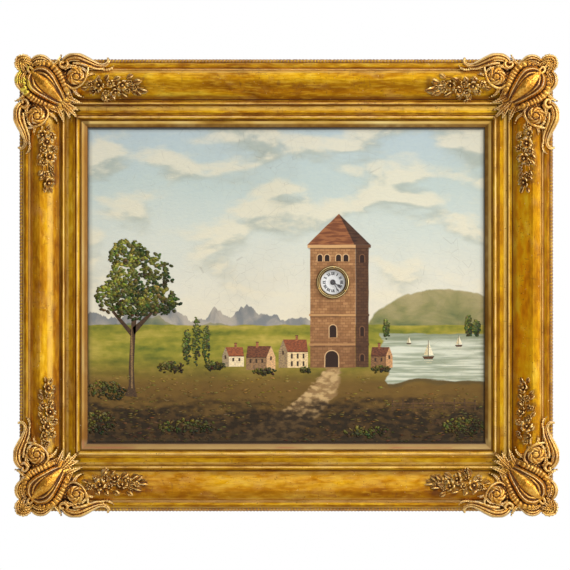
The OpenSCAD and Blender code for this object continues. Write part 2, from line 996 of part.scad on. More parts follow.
third_teeth = 60;
third_m = 22.27 / 33;
third_phase = 0;

module third_wheel() {
    color(brass)
        at_dial() {
            yplate(-37, -35.6)
                translate(third_at)
                    wheel_shape(third_teeth, third_m, third_phase);
            yplate(-43, -37)
                translate(third_at)
                    polygon(pinion_points(small_leaves, centre_m,
                        mesh_phase(centre_teeth, centre_phase, small_leaves, bearing([0, 0], third_at))));
            arbor(third_at, 1.2, -73.8, -35, 0.8, plate_front, rear_out);
        }
}

escape_teeth = 36;
escape_r = 14;

module escape_wheel() {
    color(brass)
        at_dial() {
            yplate(-54, -52.6)
                translate(escape_at)
                    difference() {
                        polygon([for (k = [0:escape_teeth - 1])
                            for (p = [[escape_r - 2, 0], [escape_r, 3.4], [escape_r - 2, 4]])
                                let (a = 360 * k / escape_teeth + p[1])
                                [p[0] * cos(a), p[0] * sin(a)]]);
                        for (k = [0:4])
                            rotate(72 * k)
                                polygon([[4, -1.6], [10, -4], [10, 4], [4, 1.6]]);
                    }
            yplate(-38, -35.4)
                translate(escape_at)
                    polygon(pinion_points(small_leaves, third_m,
                        mesh_phase(third_teeth, third_phase, small_leaves, bearing(third_at, escape_at))));
            arbor(escape_at, 1.2, -73.8, -35, 0.8, plate_front, rear_out);
        }
}

// Pallets, their arbor and the crutch that follows the pendulum
module pallets() {
    color(steel)
        at_dial() {
            yplate(-54.6, -52)
                translate(pallet_at)
                    difference() {
                        union() {
                            circle(r = 3.4, $fn = 24);
                            for (hand = [-1, 1])
                                polygon([[0, 3.2], [hand * 12.5, -1.2], [hand * 14, -4.5], [hand * 12.6, -9],
                                    [hand * 11.2, -8.2], [hand * 11.4, -5], [hand * 9.5, -3.2], [0, -1.8]]);
                        }
                        circle(r = 1, $fn = 24);
                    }
            ycyl(1.2, -73.8, -24.2, pallet_at, 24);
            ycyl(0.8, plate_front, -73.8, pallet_at, 24);
            ycyl(0.8, -24.2, -22.2, pallet_at, 24);
            ycyl(2.6, -30.9, -28.1, pallet_at, 24);
            translate([-1.2, -30.5, 22])
                cube([2.4, 2, 38.5]);
            translate([-3.8, -30.5, 20])
                cube([7.6, 2, 4]);
            for (x = [-3.8, 2.4])
                translate([x, -28.5, 20])
                    cube([1.4, 13, 4]);
        }
}

rod_y = -19;
bob_r = 26;
bob_z = pallet_at[1] - pendulum_len;

// Pendulum rod with its suspension strip and top hook
module pendulum_rod() {
    color(steel)
        at_dial() {
            translate([-0.15, rod_y - 2.5, 55])
                cube([0.3, 5, 13.5]);
            translate([-2, rod_y - 3, 49])
                cube([4, 6, 6]);
            translate([0, rod_y, bob_z - 38])
                cylinder(r = 1.2, h = 49 - bob_z + 38, $fn = 24);
        }
}

// Lens-shaped bob, bored for the rod
module pendulum_bob() {
    color(brass)
        at_dial()
            difference() {
                translate([0, rod_y, bob_z])
                    rotate([90, 0, 0])
                        rotate_extrude($fn = 64)
                            polygon([[0, -5.5], [9, -5.1], [17, -3.8], [23, -1.8], [bob_r, 0], [23, 1.8],
                                [17, 3.8], [9, 5.1], [0, 5.5]]);
                translate([0, rod_y, bob_z - bob_r - 2])
                    cylinder(r = 1.25, h = 2 * bob_r + 4, $fn = 24);
            }
}

module rating_nut() {
    color(brass)
        at_dial()
            difference() {
                translate([0, rod_y, bob_z - bob_r - 6])
                    cylinder(r = 4.5, h = 4.5, $fn = 36);
                translate([0, rod_y, bob_z - bob_r - 7])
                    cylinder(r = 1.25, h = 8, $fn = 24);
            }
}

// Cannon pinion: carries the minute hand and drives the wheels behind the dial
module cannon_pinion() {
    color(steel)
        at_dial()
            difference() {
                union() {
                    yplate(-79.7, -77.3)
                        polygon(pinion_points(8, 0.75, cannon_phase));
                    ycyl(2.05, -93, -79.7, fn = 32);
                }
                ycyl(1.55, -94, -77, fn = 32);
            }
}

motion_m = 0.75;
hour_m = 0.8;
motion_teeth = 24;
cannon_phase = 10;
motion_phase = mesh_phase(8, cannon_phase, motion_teeth, bearing([0, 0], minute_at));

module minute_wheel() {
    color(brass)
        at_dial()
            difference() {
                union() {
                    yplate(-79.3, -78)
                        translate(minute_at)
                            polygon(wheel_points(motion_teeth, motion_m, motion_phase));
                    yplate(-82.6, -79.3)
                        translate(minute_at)
                            polygon(pinion_points(small_leaves, hour_m, motion_phase));
                }
                ycyl(1.05, -84, -77, minute_at, 32);
            }
}

hour_pipe_y = -90.6;

module hour_wheel() {
    color(brass)
        at_dial()
            difference() {
                union() {
                    yplate(-82.2, -81)
                        polygon(wheel_points(motion_teeth, hour_m,
                            mesh_phase(small_leaves, motion_phase, motion_teeth, bearing(minute_at, [0, 0]))));
                    ycyl(3.6, hour_pipe_y, -80.6);
                }
                ycyl(2.1, -92, -80, fn = 32);
            }
}

// Points of a hand that points to twelve: boss, stem and spade head
module hand_shape(len, stem, head, boss) {
    circle(r = boss, $fn = 36);
    polygon([[-stem, 0], [stem, 0], [stem * 0.8, len - head * 3.4], [head, len - head * 2.2],
        [head * 0.75, len - head * 1.3], [stem * 0.3, len], [-stem * 0.3, len],
        [-head * 0.75, len - head * 1.3], [-head, len - head * 2.2], [-stem * 0.8, len - head * 3.4]]);
}

module hour_hand() {
    color("black")
        at_dial()
            difference() {
                yplate(-90.5, -89.6)
                    rotate(-hour_turn)
                        hand_shape(hour_len, 1, 2.2, 4.95);
                ycyl(3.65, -92, -88);
            }
}

module minute_hand() {
    color("black")
        at_dial()
            difference() {
                union() {
                    yplate(-92.4, -91.6)
                        rotate(-minute_turn)
                            hand_shape(minute_len, 0.75, 1.2, 3.6);
                    ycyl(2.8, -93.4, -92.4, fn = 32);
                }
                ycyl(2.1, -94, -91, fn = 32);
            }
}

pin_teeth = 48;
pin_m = 0.63;
pin_phase = 2;
pin_count = 8;
pin_ring = 13.3;

// Pin wheel whose pins lift the hammer
module pin_wheel() {
    color(brass)
        at_dial() {
            yplate(-41, -39.6)
                translate(pin_at)
                    wheel_shape(pin_teeth, pin_m, pin_phase, 4, 3);
            for (k = [0:pin_count - 1])
                ycyl(0.6, -39.6, -36.8,
                    [pin_at[0] + pin_ring * cos(360 * (k + 0.25) / pin_count),
                        pin_at[1] + pin_ring * sin(360 * (k + 0.25) / pin_count)], 12);
            yplate(-68, -61)
                translate(pin_at)
                    polygon(pinion_points(pinion_leaves, strike_m,
                        mesh_phase(barrel_teeth, strike_phase, pinion_leaves, bearing(strike_at, pin_at))));
            arbor(pin_at, 1.2, -73.8, -35, 0.8, plate_front, rear_out);
        }
}

// Fly that slows the striking, with its two vanes
module fly() {
    color(steel)
        at_dial() {
            yplate(-42.4, -38.4)
                translate(fly_at)
                    polygon(pinion_points(small_leaves, pin_m,
                        mesh_phase(pin_teeth, pin_phase, small_leaves, bearing(pin_at, fly_at))));
            arbor(fly_at, 1.2, -73.8, -35, 0.8, plate_front, rear_out);
            translate([fly_at[0] - 0.4, -60, fly_at[1] - 11])
                cube([0.8, 12, 22]);
        }
}

hammer_head = [138, -14.4];

// Hammer with its lifting tail; the head rests just above the gong
module hammer() {
    tail = [pin_at[0] - hammer_at[0], pin_at[1] - hammer_at[1]];
    reach = norm(tail) - pin_ring - 1.2;
    color(steel)
        at_dial() {
            ycyl(1.2, -73.8, -28.2, hammer_at, 24);
            ycyl(0.8, plate_front, -73.8, hammer_at, 24);
            yplate(-38.8, -37.2)
                translate(hammer_at)
                    rotate(atan2(tail[1], tail[0]))
                        polygon([[0, -2], [reach, -0.7], [reach, 0.7], [0, 2]]);
            ycyl(3, -38.8, -37.2, hammer_at, 24);
            ycyl(3, -30.8, -28.2, hammer_at, 24);
            yplate(-30.5, -28.5)
                translate(hammer_at)
                    rotate(bearing(hammer_at, hammer_head))
                        polygon([[0, -1.4], [76, -1], [76, 1], [0, 1.4]]);
            translate([hammer_head[0], -29.5, hammer_head[1] - 7])
                cylinder(r = 5, h = 14, $fn = 36);
        }
}

frame_top_rail();
frame_bottom_rail();
frame_left_rail();
frame_right_rail();
sight_slip();
corner_ornaments();
flower_sprays();
picture_panel();
panel_battens();
bezel();
dial_glass();
bezel_screws();
door_hinge_leaves();
bolt_keeper();
door_screws();
case_left_side();
case_right_side();
case_top();
case_bottom();
case_back();
seat_board();
seat_brackets();
hanger_plate();
case_hinge_leaves();
hinge_pins();
bolt_plate();
case_screws();
gong_stand();
gong();
front_plate();
back_plate();
plate_pillars();
pillar_nuts();
pendulum_cock();
dial();
dial_plate();
door_bolt();
going_barrel();
strike_barrel();
going_mainspring();
strike_mainspring();
going_arbor();
strike_arbor();
going_click();
strike_click();
centre_wheel();
cannon_pinion();
minute_hand();
minute_wheel();
hour_wheel();
hour_hand();
third_wheel();
escape_wheel();
pallets();
pendulum_rod();
pendulum_bob();
rating_nut();
pin_wheel();
fly();
hammer();
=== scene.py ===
# %% [markdown]
# A picture clock: a landscape in a deep gilt frame, with a small working dial set into the
# picture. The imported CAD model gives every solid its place; this lesson dresses it. Shapes that
# a CAD solid can't hold, such as carved leaves, are built here and replace the plain ones.

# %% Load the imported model
import math

import bpy
import numpy as np
from mathutils import Matrix, Vector


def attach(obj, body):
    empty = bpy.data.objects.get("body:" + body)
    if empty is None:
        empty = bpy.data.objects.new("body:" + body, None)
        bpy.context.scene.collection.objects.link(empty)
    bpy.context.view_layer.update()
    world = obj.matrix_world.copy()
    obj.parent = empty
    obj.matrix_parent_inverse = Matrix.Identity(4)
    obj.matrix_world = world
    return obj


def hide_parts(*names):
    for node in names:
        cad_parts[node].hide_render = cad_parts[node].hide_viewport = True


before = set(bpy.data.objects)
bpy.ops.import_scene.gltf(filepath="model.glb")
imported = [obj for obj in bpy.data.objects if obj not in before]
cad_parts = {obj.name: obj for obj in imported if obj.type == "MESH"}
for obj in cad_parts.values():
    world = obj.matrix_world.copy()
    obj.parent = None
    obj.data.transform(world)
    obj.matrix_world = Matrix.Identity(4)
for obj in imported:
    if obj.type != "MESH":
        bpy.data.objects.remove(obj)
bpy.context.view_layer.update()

MM = 0.001


def linked(name, data):
    """A new object in the scene."""
    made = bpy.data.objects.new(name, data)
    bpy.context.scene.collection.objects.link(made)
    return made


# %% [markdown]
# The clock is seen square on. A long lens from far away keeps the frame's inner sides out of
# sight, as in a catalogue picture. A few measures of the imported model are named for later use.

# %% The camera
IMAGE_SIDE = 570
PIXEL = 1.84 * MM
CAMERA_AWAY = 12.0
VIEW_CENTRE = Vector((-0.0023, -0.12, -0.3785))

camera_data = bpy.data.cameras.new("camera")
camera = linked("camera", camera_data)
camera.location = VIEW_CENTRE + Vector((0, -CAMERA_AWAY, 0))
camera.rotation_euler = (math.radians(90), 0, 0)
camera_data.lens = camera_data.sensor_width * CAMERA_AWAY / (IMAGE_SIDE * PIXEL)
camera_data.clip_end = 4 * CAMERA_AWAY
bpy.context.scene.camera = camera
bpy.context.scene.view_settings.view_transform = "Standard"

# The frame's middle, half its width and height, its back, and the dial, in metres
FRAME_MID_Z = -0.379
HALF_W = 0.490
HALF_H = 0.415
FRAME_BACK_Y = -0.0825
PANEL_FRONT_Y = -0.0965
DIAL_X = 0.086
DIAL_Z = -0.3734
DIAL_FRONT_Y = -0.088
# The same in millimetres, which the shaders use
MID_Z = FRAME_MID_Z / MM
BACK_Y = FRAME_BACK_Y / MM
HALF_U = HALF_W / MM
HALF_V = HALF_H / MM
DIAL_U = DIAL_X / MM
DIAL_UP = DIAL_Z / MM
print("lens", round(camera_data.lens, 1), "mm at", CAMERA_AWAY, "m")

# %% [markdown]
# Shader sums read best as Python. A Term wraps one socket, and arithmetic on it adds Math nodes.
# Every other node comes from Recipe.add, which takes the node's type, its settings and its
# sockets. Colours are given as the eye sees them, from 0 to 255, and turned to linear light.


# %% Terms and recipes
def tint(red, green, blue):
    """A colour as seen on a screen, turned to the linear light that Blender wants."""
    parts = [c / 255 for c in (red, green, blue)]
    return (*[p / 12.92 if p < 10 / 255 else ((p + 0.055) / 1.055) ** 2.4 for p in parts], 1.0)


def as_light(colour):
    """A colour of three numbers as linear light; a Term or a ready colour as it is."""
    return tint(*colour) if isinstance(colour, tuple) and len(colour) == 3 else colour


class Term:
    """One socket of a recipe; sums on it become Math nodes."""

    def __init__(self, recipe, node, socket):
        self.recipe = recipe
        self.node = node
        self.socket = socket

    def out(self, name):
        return Term(self.recipe, self.node, self.node.outputs[name])

    def sum(self, operation, *others):
        values = {place: value for place, value in enumerate((self, *others))}
        return self.recipe.add("ShaderNodeMath", {"operation": operation}, values)

    def __add__(self, other):
        return self.sum("ADD", other)

    def __sub__(self, other):
        return self.sum("SUBTRACT", other)

    def __mul__(self, other):
        return self.sum("MULTIPLY", other)

    def __truediv__(self, other):
        return self.sum("DIVIDE", other)

    def __rsub__(self, other):
        return self.recipe.add("ShaderNodeMath", {"operation": "SUBTRACT"}, {0: other, 1: self})

    __radd__ = __add__
    __rmul__ = __mul__

    def least(self, other):
        return self.sum("MINIMUM", other)

    def most(self, other):
        return self.sum("MAXIMUM", other)

    def size(self):
        return self.sum("ABSOLUTE")

    def above(self, low, high):
        """0 below low, 1 above high, and a soft step between; low may lie above high."""
        rises = low < high
        ends = {1: min(low, high), 2: max(low, high), 3: float(not rises), 4: float(rises)}
        return self.recipe.add("ShaderNodeMapRange", {"interpolation_type": "SMOOTHSTEP"}, {0: self, **ends})

    def from_middle(self, other):
        """Distance from the middle, this and the other being its parts along two axes."""
        return (self * self + other * other).sum("SQRT")


class Recipe:
    """Fills one node tree."""

    def __init__(self, tree):
        self.tree = tree
        tree.nodes.clear()

    def add(self, kind, settings=None, sockets=None, out=0):
        node = self.tree.nodes.new(kind)
        for name, value in (settings or {}).items():
            if name == "stops":
                ramp = node.color_ramp.elements
                while len(ramp) < len(value):
                    ramp.new(0.5)
                for element, (place, colour) in zip(ramp, value):
                    element.position = place
                    element.color = colour
            else:
                setattr(node, name, value)
        for name, value in (sockets or {}).items():
            if isinstance(value, Term):
                self.tree.links.new(value.socket, node.inputs[name])
            else:
                node.inputs[name].default_value = value
        return Term(self, node, node.outputs[out]) if len(node.outputs) else node

    def place(self):
        """Object coordinates, and their three numbers in millimetres."""
        spot = self.add("ShaderNodeTexCoord", out="Object")
        parts = self.add("ShaderNodeSeparateXYZ", sockets={0: spot})
        return spot, parts * (1 / MM), parts.out("Y") * (1 / MM), parts.out("Z") * (1 / MM)

    def noise(self, spot, scale, detail=4, stretch=(1, 1, 1), shift=(0, 0, 0), warp=0.0):
        """Smooth noise round 0.5; scale counts its lumps in a metre."""
        sizes = {"Vector": spot, "Scale": stretch, "Location": shift}
        moved = self.add("ShaderNodeMapping", sockets=sizes)
        sockets = {"Vector": moved, "Scale": scale, "Detail": detail, "Distortion": warp}
        return self.add("ShaderNodeTexNoise", sockets=sockets)

    def blend(self, amount, first, second, mode="MIX"):
        settings = {"data_type": "RGBA", "blend_type": mode}
        sockets = {0: amount, 6: as_light(first), 7: as_light(second)}
        return self.add("ShaderNodeMix", settings, sockets, out=2)

    def layers(self, colour, *coats):
        """Lays coats of [amount, colour] over a colour, one after the other."""
        for amount, coat in coats:
            colour = self.blend(amount, colour, coat)
        return colour

    def ramp(self, amount, *stops):
        """Colours by amount, each stop a place and a colour's three numbers."""
        lit = [(place, tint(*colour)) for place, *colour in stops]
        return self.add("ShaderNodeValToRGB", {"stops": lit}, {0: amount})

    def cells(self, spot, scale):
        """Distance to the nearest edge of a net of cells, for fine cracks."""
        sockets = {"Vector": spot, "Scale": scale}
        return self.add("ShaderNodeTexVoronoi", {"feature": "DISTANCE_TO_EDGE"}, sockets)

    def bump(self, height, depth):
        return self.add("ShaderNodeBump", sockets={"Height": height, "Distance": depth})

    def finish(self, **values):
        """The material, its shader filled in; an underscore stands for a blank in a socket's name."""
        sockets = {label.replace("_", " "): value for label, value in values.items()}
        shader = self.add("ShaderNodeBsdfPrincipled", sockets=sockets)
        self.add("ShaderNodeOutputMaterial", sockets={"Surface": shader})
        return self.material


def new_recipe(name):
    """A recipe for a new material, with its object coordinates."""
    material = bpy.data.materials.new(name)
    material.use_nodes = True
    recipe = Recipe(material.node_tree)
    recipe.material = material
    return recipe, *recipe.place()


def dress(material, *nodes):
    """Gives CAD nodes a material in place of the plain one they came with."""
    for name in nodes:
        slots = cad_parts[name].data.materials
        slots.clear()
        slots.append(material)


print("recipes ready")

# %% [markdown]
# The light is a plain studio: large soft lamps above and to the right, which catch the flanks
# of every moulding, and a world that is lighter overhead than underfoot. The background is white
# for the camera and for what shines through or off the backdrop's side, and adds no light of its
# own.

# %% Studio light
ROOM_STRENGTH = 0.62
OBJECT_MID = Vector((0, -0.1, FRAME_MID_Z))
world = bpy.data.worlds.new("studio")
bpy.context.scene.world = world
world.use_nodes = True
air = Recipe(world.node_tree)
toward = air.add("ShaderNodeTexCoord", out="Generated")
direction = air.add("ShaderNodeSeparateXYZ", sockets={0: toward})
lit_side = direction.out("Z") * 0.72 + direction * 0.40
overhead = lit_side.above(-0.80, 0.75)
room = air.blend(overhead, (126, 99, 76), (228, 229, 230))
rays = air.add("ShaderNodeLightPath", out="Is Camera Ray")
backdrop_side = direction.out("Y").above(-0.1, 0.25)
shown = rays.most(rays.out("Is Transmission Ray")).most(rays.out("Is Glossy Ray") * backdrop_side)
studio = air.add("ShaderNodeBackground", sockets={"Color": room, "Strength": ROOM_STRENGTH})
white = air.add("ShaderNodeBackground", sockets={"Color": (1, 1, 1, 1), "Strength": 1.0})
both = air.add("ShaderNodeMixShader", sockets={0: shown, 1: studio, 2: white})
air.add("ShaderNodeOutputWorld", sockets={"Surface": both})


def soft_lamp(name, away, size, power, colour):
    """A square soft lamp at a distance from the clock's middle, turned to face it."""
    data = bpy.data.lights.new(name, "AREA")
    data.size = size
    data.energy = power
    data.color = colour
    lamp = linked(name, data)
    lamp.location = OBJECT_MID + Vector(away)
    lamp.rotation_euler = (-Vector(away)).to_track_quat("-Z", "Y").to_euler()


soft_lamp("key_lamp", (1.7, -2.4, 1.6), 1.3, 33, (1.0, 0.97, 0.93))
soft_lamp("top_lamp", (0.2, -1.4, 2.7), 1.8, 22, (1.0, 0.98, 0.95))
soft_lamp("side_lamp", (2.7, -1.2, 0.2), 1.6, 30, (1.0, 0.98, 0.95))
soft_lamp("front_lamp", (0.7, -3.5, 0.5), 2.0, 22, (0.97, 0.98, 1.0))
print("studio lit by", len(bpy.data.lights), "lamps")

# %% [markdown]
# The floor is a plain pale sheet well below the clock, which hangs on a wall. It is part of the
# stage, so it doesn't count as a piece. Its underside is see-through, so that the clock can be
# looked at from below.

# %% Floor
FLOOR_Z = -1.75
FLOOR_REACH = 6.0
# Between these distances from the clock, in millimetres, the floor fades into the white
FADE_START, FADE_END = 1100, 2600
SQUARE = ((-1, -1), (1, -1), (1, 1), (-1, 1))
floor_mesh = bpy.data.meshes.new("floor")
floor_corners = [(FLOOR_REACH * a, FLOOR_REACH * b, FLOOR_Z) for a, b in SQUARE]
floor_mesh.from_pydata(floor_corners, [], [(0, 1, 2, 3)])
floor = linked("floor", floor_mesh)
recipe, _, x, y, _ = new_recipe("floor_paint")
far_off = x.from_middle(y).above(FADE_START, FADE_END)
seen = recipe.add("ShaderNodeLightPath", out="Is Camera Ray")
sheet = recipe.add("ShaderNodeBsdfDiffuse", sockets={"Color": (0.86, 0.86, 0.85, 1)})
bright = recipe.add("ShaderNodeEmission", sockets={"Color": (1, 1, 1, 1), "Strength": 1.0})
fade = seen.most(seen.out("Is Glossy Ray")) * far_off
top_side = recipe.add("ShaderNodeMixShader", sockets={0: fade, 1: sheet, 2: bright})
under = recipe.add("ShaderNodeNewGeometry", out="Backfacing")
clear = recipe.add("ShaderNodeBsdfTransparent")
one_way = recipe.add("ShaderNodeMixShader", sockets={0: under, 1: top_side, 2: clear})
recipe.add("ShaderNodeOutputMaterial", sockets={"Surface": one_way})
floor_mesh.materials.append(recipe.material)
print("floor at", FLOOR_Z, "m")

# %% [markdown]
# Old water gilding isn't one yellow. Leaf over a red clay shows ochre in the hollows, a
# paler gold on the crowns, rubbed and with a painted highlight, greyish rubs where hands and
# dusters went, and brown lines of dirt and painted shade where two mouldings meet. Painted light
# and shade also lie along each rail's flanks, different on the left or top rail and on the other
# one, and painted shade lies round the flower sprays. The distance in from the frame's outer edge
# tells the shader which moulding it is on.

# %% Gilding of the rails
# Lines along a rail as [place, half width, strength], in millimetres from the outer edge
# The first lines are grooves, with brown dirt and painted shade in them
GROOVE_DIRT_AND_SHADE_LINES = ((6.0, 1.6, 0.4), (73.4, 2.0, 1.0), (82.6, 1.3, 0.9), (99.6, 1.4, 0.3), (110.4, 1.7, 0.9))
# Crowns, paler where rubbed and painted with a highlight
CROWN_RUB_AND_HIGHLIGHT_LINES = ((17.6, 2.6, 1.9), (22.5, 2.2, 0.5), (80.2, 2.2, 0.9), (87.0, 3.2, 0.7), (104.9, 2.2, 1.3))
BROWNED_LINES = ((9.8, 4.2, 0.55), (97.5, 2.0, 0.5), (101.6, 1.6, 0.6))
# Painted light and shade along the rails, the browner tone painted shade and the warmer and paler ones
# painted light, as [colour, way of mixing, lines on the left or top rail, lines on the other one]
PAINTED_SHADE_TONE = ((184, 126, 80), "MULTIPLY")
PAINTED_WARM_LIGHT_TONE = ((255, 218, 128), "OVERLAY")
PAINTED_HIGHLIGHT_TONE = ((248, 206, 104), "MIX")
UPRIGHT_PAINTED_LIGHT = (
    (*PAINTED_SHADE_TONE,
     ((29.0, 20.0, 0.34), (68.0, 9.0, 0.5), (11.0, 3.5, 0.6), (76.7, 2.2, 0.4), (102.3, 2.4, 0.5)),
     ((27.0, 11.0, 0.26), (9.6, 4.2, 0.5))),
    (*PAINTED_WARM_LIGHT_TONE, ((27.0, 10.0, 0.15),), ((56.0, 22.0, 0.5),)),
    (*PAINTED_HIGHLIGHT_TONE, ((56.0, 7.0, 0.44), (18.0, 2.2, 0.9), (6.7, 1.5, 0.6)), ((86.5, 4.0, 0.5), (4.2, 1.5, 0.4))),
)
ACROSS_PAINTED_LIGHT = (
    (*PAINTED_SHADE_TONE,
     ((71.5, 6.0, 0.5), (50.0, 14.0, 0.34), (15.0, 2.6, 0.5), (77.3, 2.6, 0.5), (102.5, 2.6, 0.6),
      (84.0, 1.8, 0.6)),
     ((34.0, 19.0, 0.6), (9.8, 2.4, 0.4))),
    (*PAINTED_WARM_LIGHT_TONE, ((59.0, 8.0, 0.15),), ((60.0, 12.0, 0.10),)),
    (*PAINTED_HIGHLIGHT_TONE, ((90.0, 4.8, 0.45), (22.2, 3.0, 0.3)), ((6.2, 2.2, 0.6), (102.2, 2.2, 0.7))),
)
# The middle of a spray, from the corner and from the edge, and half its length and width with
# the painted shade round it, and how softly that ends; the foot of the swelling; the height of the
# plain side; and the rebate
SPRAY_ALONG, SPRAY_IN, SPRAY_LONG, SPRAY_WIDE, SPRAY_SOFT = 176, 50, 64, 26, 14
SWELLING_FOOT = 69.5
PLAIN_SIDE_TOP = 40.0
REBATE_IN, REBATE_LIFT = 105.2, 18.0


def across_rail(x, z):
    """Distance in from the nearest outer edge, in millimetres."""
    return (HALF_U - x.size()).least(HALF_V - (z - MID_Z).size())


def lines_at(distance, lines):
    """Strength on each of the lines [place, half width, strength], 0 elsewhere."""
    total = None
    for place, half, strength in lines:
        line = (distance - place).size().above(half, half * 0.25) * strength
        total = line if total is None else total.most(line)
    return total


def rail_gilding(name, stretch, upright):
    recipe, spot, x, y, z = new_recipe(name)
    inward = across_rail(x, z)
    corner = HALF_V - (z - MID_Z).size() if upright else HALF_U - x.size()
    far_rail = x.above(0, 10) if upright else z.above(MID_Z, MID_Z - 10)
    halfway = tuple(0.25 + 0.75 * s for s in stretch)
    brushed = tuple(s * (0.4 + 0.6 * s) for s in stretch)
    crossways = (0.3, 1, 1.5) if upright else (1.5, 1, 0.3)
    clouds = recipe.noise(spot, 15, 6, stretch, warp=0.5)
    streaks = recipe.noise(spot, 62, 6, stretch, (0.3, 0.1, 0.7))
    lumps = recipe.noise(spot, 85, 6, halfway, (0.8, 0.3, 0.1), 0.2)
    leaf = recipe.ramp(
        clouds * 0.44 + streaks * 0.26 + lumps * 0.30,
        (0.34, 126, 74, 0),
        (0.45, 178, 122, 2),
        (0.54, 207, 157, 10),
        (0.66, 234, 199, 66),
    )

    # Rubs, dust and a painted lighter tone on what faces up, crowns rubbed paler and painted as highlights,
    # and brown lines
    rub_noise = recipe.noise(spot, 44, 7, halfway, (1.1, 0.4, 0.2), 0.3)
    rubs = rub_noise.above(0.54, 0.72) * 0.4
    facing = recipe.add("ShaderNodeTexCoord", out="Normal")
    upward = recipe.add("ShaderNodeSeparateXYZ", sockets={0: facing}).out("Z").above(0.30, 0.75)
    # Dust on what faces up, which also stands in for painted light from above
    dust_and_top_light = upward * lumps.above(0.36, 0.60) * 0.4
    rubbed_and_highlit_crowns = lines_at(inward, CROWN_RUB_AND_HIGHLIGHT_LINES) * (streaks.above(0.34, 0.60) * 0.6 + 0.4)
    brown_lines = lines_at(inward, BROWNED_LINES) * (lumps.above(0.66, 0.40) * 0.6 + 0.4)
    gilt = recipe.layers(
        leaf,
        (rubs, (206, 162, 78)),
        (dust_and_top_light, (206, 164, 88)),
        ((rubbed_and_highlit_crowns * 0.6).least(0.9), (246, 212, 140)),
        (brown_lines, (132, 78, 18)),
    )
    # Painted light and shade, laid differently on the left or top rail and on the other one
    for change, way, near_lines, far_lines in UPRIGHT_PAINTED_LIGHT if upright else ACROSS_PAINTED_LIGHT:
        painted_light_lines = lines_at(inward, near_lines) * (1 - far_rail) + lines_at(inward, far_lines) * far_rail
        gilt = recipe.blend(painted_light_lines, gilt, change, way)

    # Dirt and painted shade in the grooves and at the swelling's foot, painted shade round the sprays, and
    # dirt in fine cracks
    # The swelling's foot gets dirt and painted shade
    foot = (inward - SWELLING_FOOT).size().above(6.5, 1.0) * 0.45
    crumbs = recipe.noise(spot, 110, 4, shift=(0.6, 0, 0.2))
    # Painted shade round each flower spray
    beside = (corner - SPRAY_ALONG).size().above(SPRAY_LONG, SPRAY_LONG - SPRAY_SOFT)
    around = (inward - SPRAY_IN).size().above(SPRAY_WIDE, SPRAY_WIDE - SPRAY_SOFT)
    painted_shade_round_spray = beside * around * crumbs.above(0.40, 0.58) * 0.7
    cracks = recipe.noise(spot, 120, 4, crossways, (0.2, 0.9, 0.5)).above(0.60, 0.70)
    groove_dirt_and_shade = lines_at(inward, GROOVE_DIRT_AND_SHADE_LINES).most(foot * clouds.above(0.35, 0.55))
    dirt_and_shade = groove_dirt_and_shade.most(painted_shade_round_spray).most(cracks * clouds.above(0.60, 0.44) * 0.35) * 0.85

    # Unevenness of the leaf, red clay, chips, and the plain sides and bare wood behind
    flicker = recipe.noise(spot, 240, 6, brushed, (0.4, 0.2, 0.9))
    uneven = (0.16 if upright else 0.3) - far_rail * 0.1
    bole = recipe.noise(spot, 330, 3).above(0.62, 0.70) * rub_noise.above(0.44, 0.56)
    chips = recipe.noise(spot, 260, 2, shift=(0.5, 0.5, 0.1)).above(0.73, 0.78)
    lift = BACK_Y - y
    side = inward.above(1.0, 0.3) * lift.above(PLAIN_SIDE_TOP, PLAIN_SIDE_TOP - 3)
    rebate = inward.above(REBATE_IN - 0.4, REBATE_IN + 0.4)
    bare = lift.above(0.9, 0.4).most(rebate * lift.above(REBATE_LIFT + 0.4, REBATE_LIFT - 0.4))
    plain = side.most(bare)
    grain = recipe.noise(spot, 150, 5, tuple(s * s for s in stretch))
    colour = recipe.layers(
        gilt,
        (flicker.above(0.50, 0.66) * uneven, (136, 80, 8)),
        (flicker.above(0.50, 0.34) * uneven, (246, 200, 62)),
        (dirt_and_shade, (88, 40, 4)),
        (bole * 0.75, (104, 44, 14)),
        (chips * 0.6, (250, 228, 178)),
        (side, recipe.blend(streaks, (150, 112, 52), (186, 146, 84))),
        (bare, recipe.ramp(grain, (0.35, 96, 62, 34), (0.62, 150, 108, 66))),
    )
    skin = recipe.noise(spot, 900, 3) * 0.3 + lumps * 0.9 + clouds * 0.6
    return recipe.finish(
        Base_Color=colour,
        Metallic=(1 - plain) * (0.86 - dirt_and_shade * 0.5 - (rubs + dust_and_top_light) * 0.35 - painted_light_lines * 0.45),
        Roughness=0.38 + lumps * 0.22 + dirt_and_shade * 0.2 + plain * 0.3,
        Normal=recipe.bump(skin, 0.0013),
    )


dress(rail_gilding("gilding_across", (0.34, 1, 1), upright=False), "frame_top_rail", "frame_bottom_rail")
dress(rail_gilding("gilding_upright", (1, 1, 0.34), upright=True), "frame_left_rail", "frame_right_rail")
print("rails gilded")

# %% [markdown]
# The slip is the innermost strip. Its gold is paler. Along the bottom, where dust lies and is
# wiped away, it is dull, and a little of the reddish ground shows in long streaks. Its inner
# slope carries painted shade, darker along the left side, and dark painted shadow lines run at its
# edges.


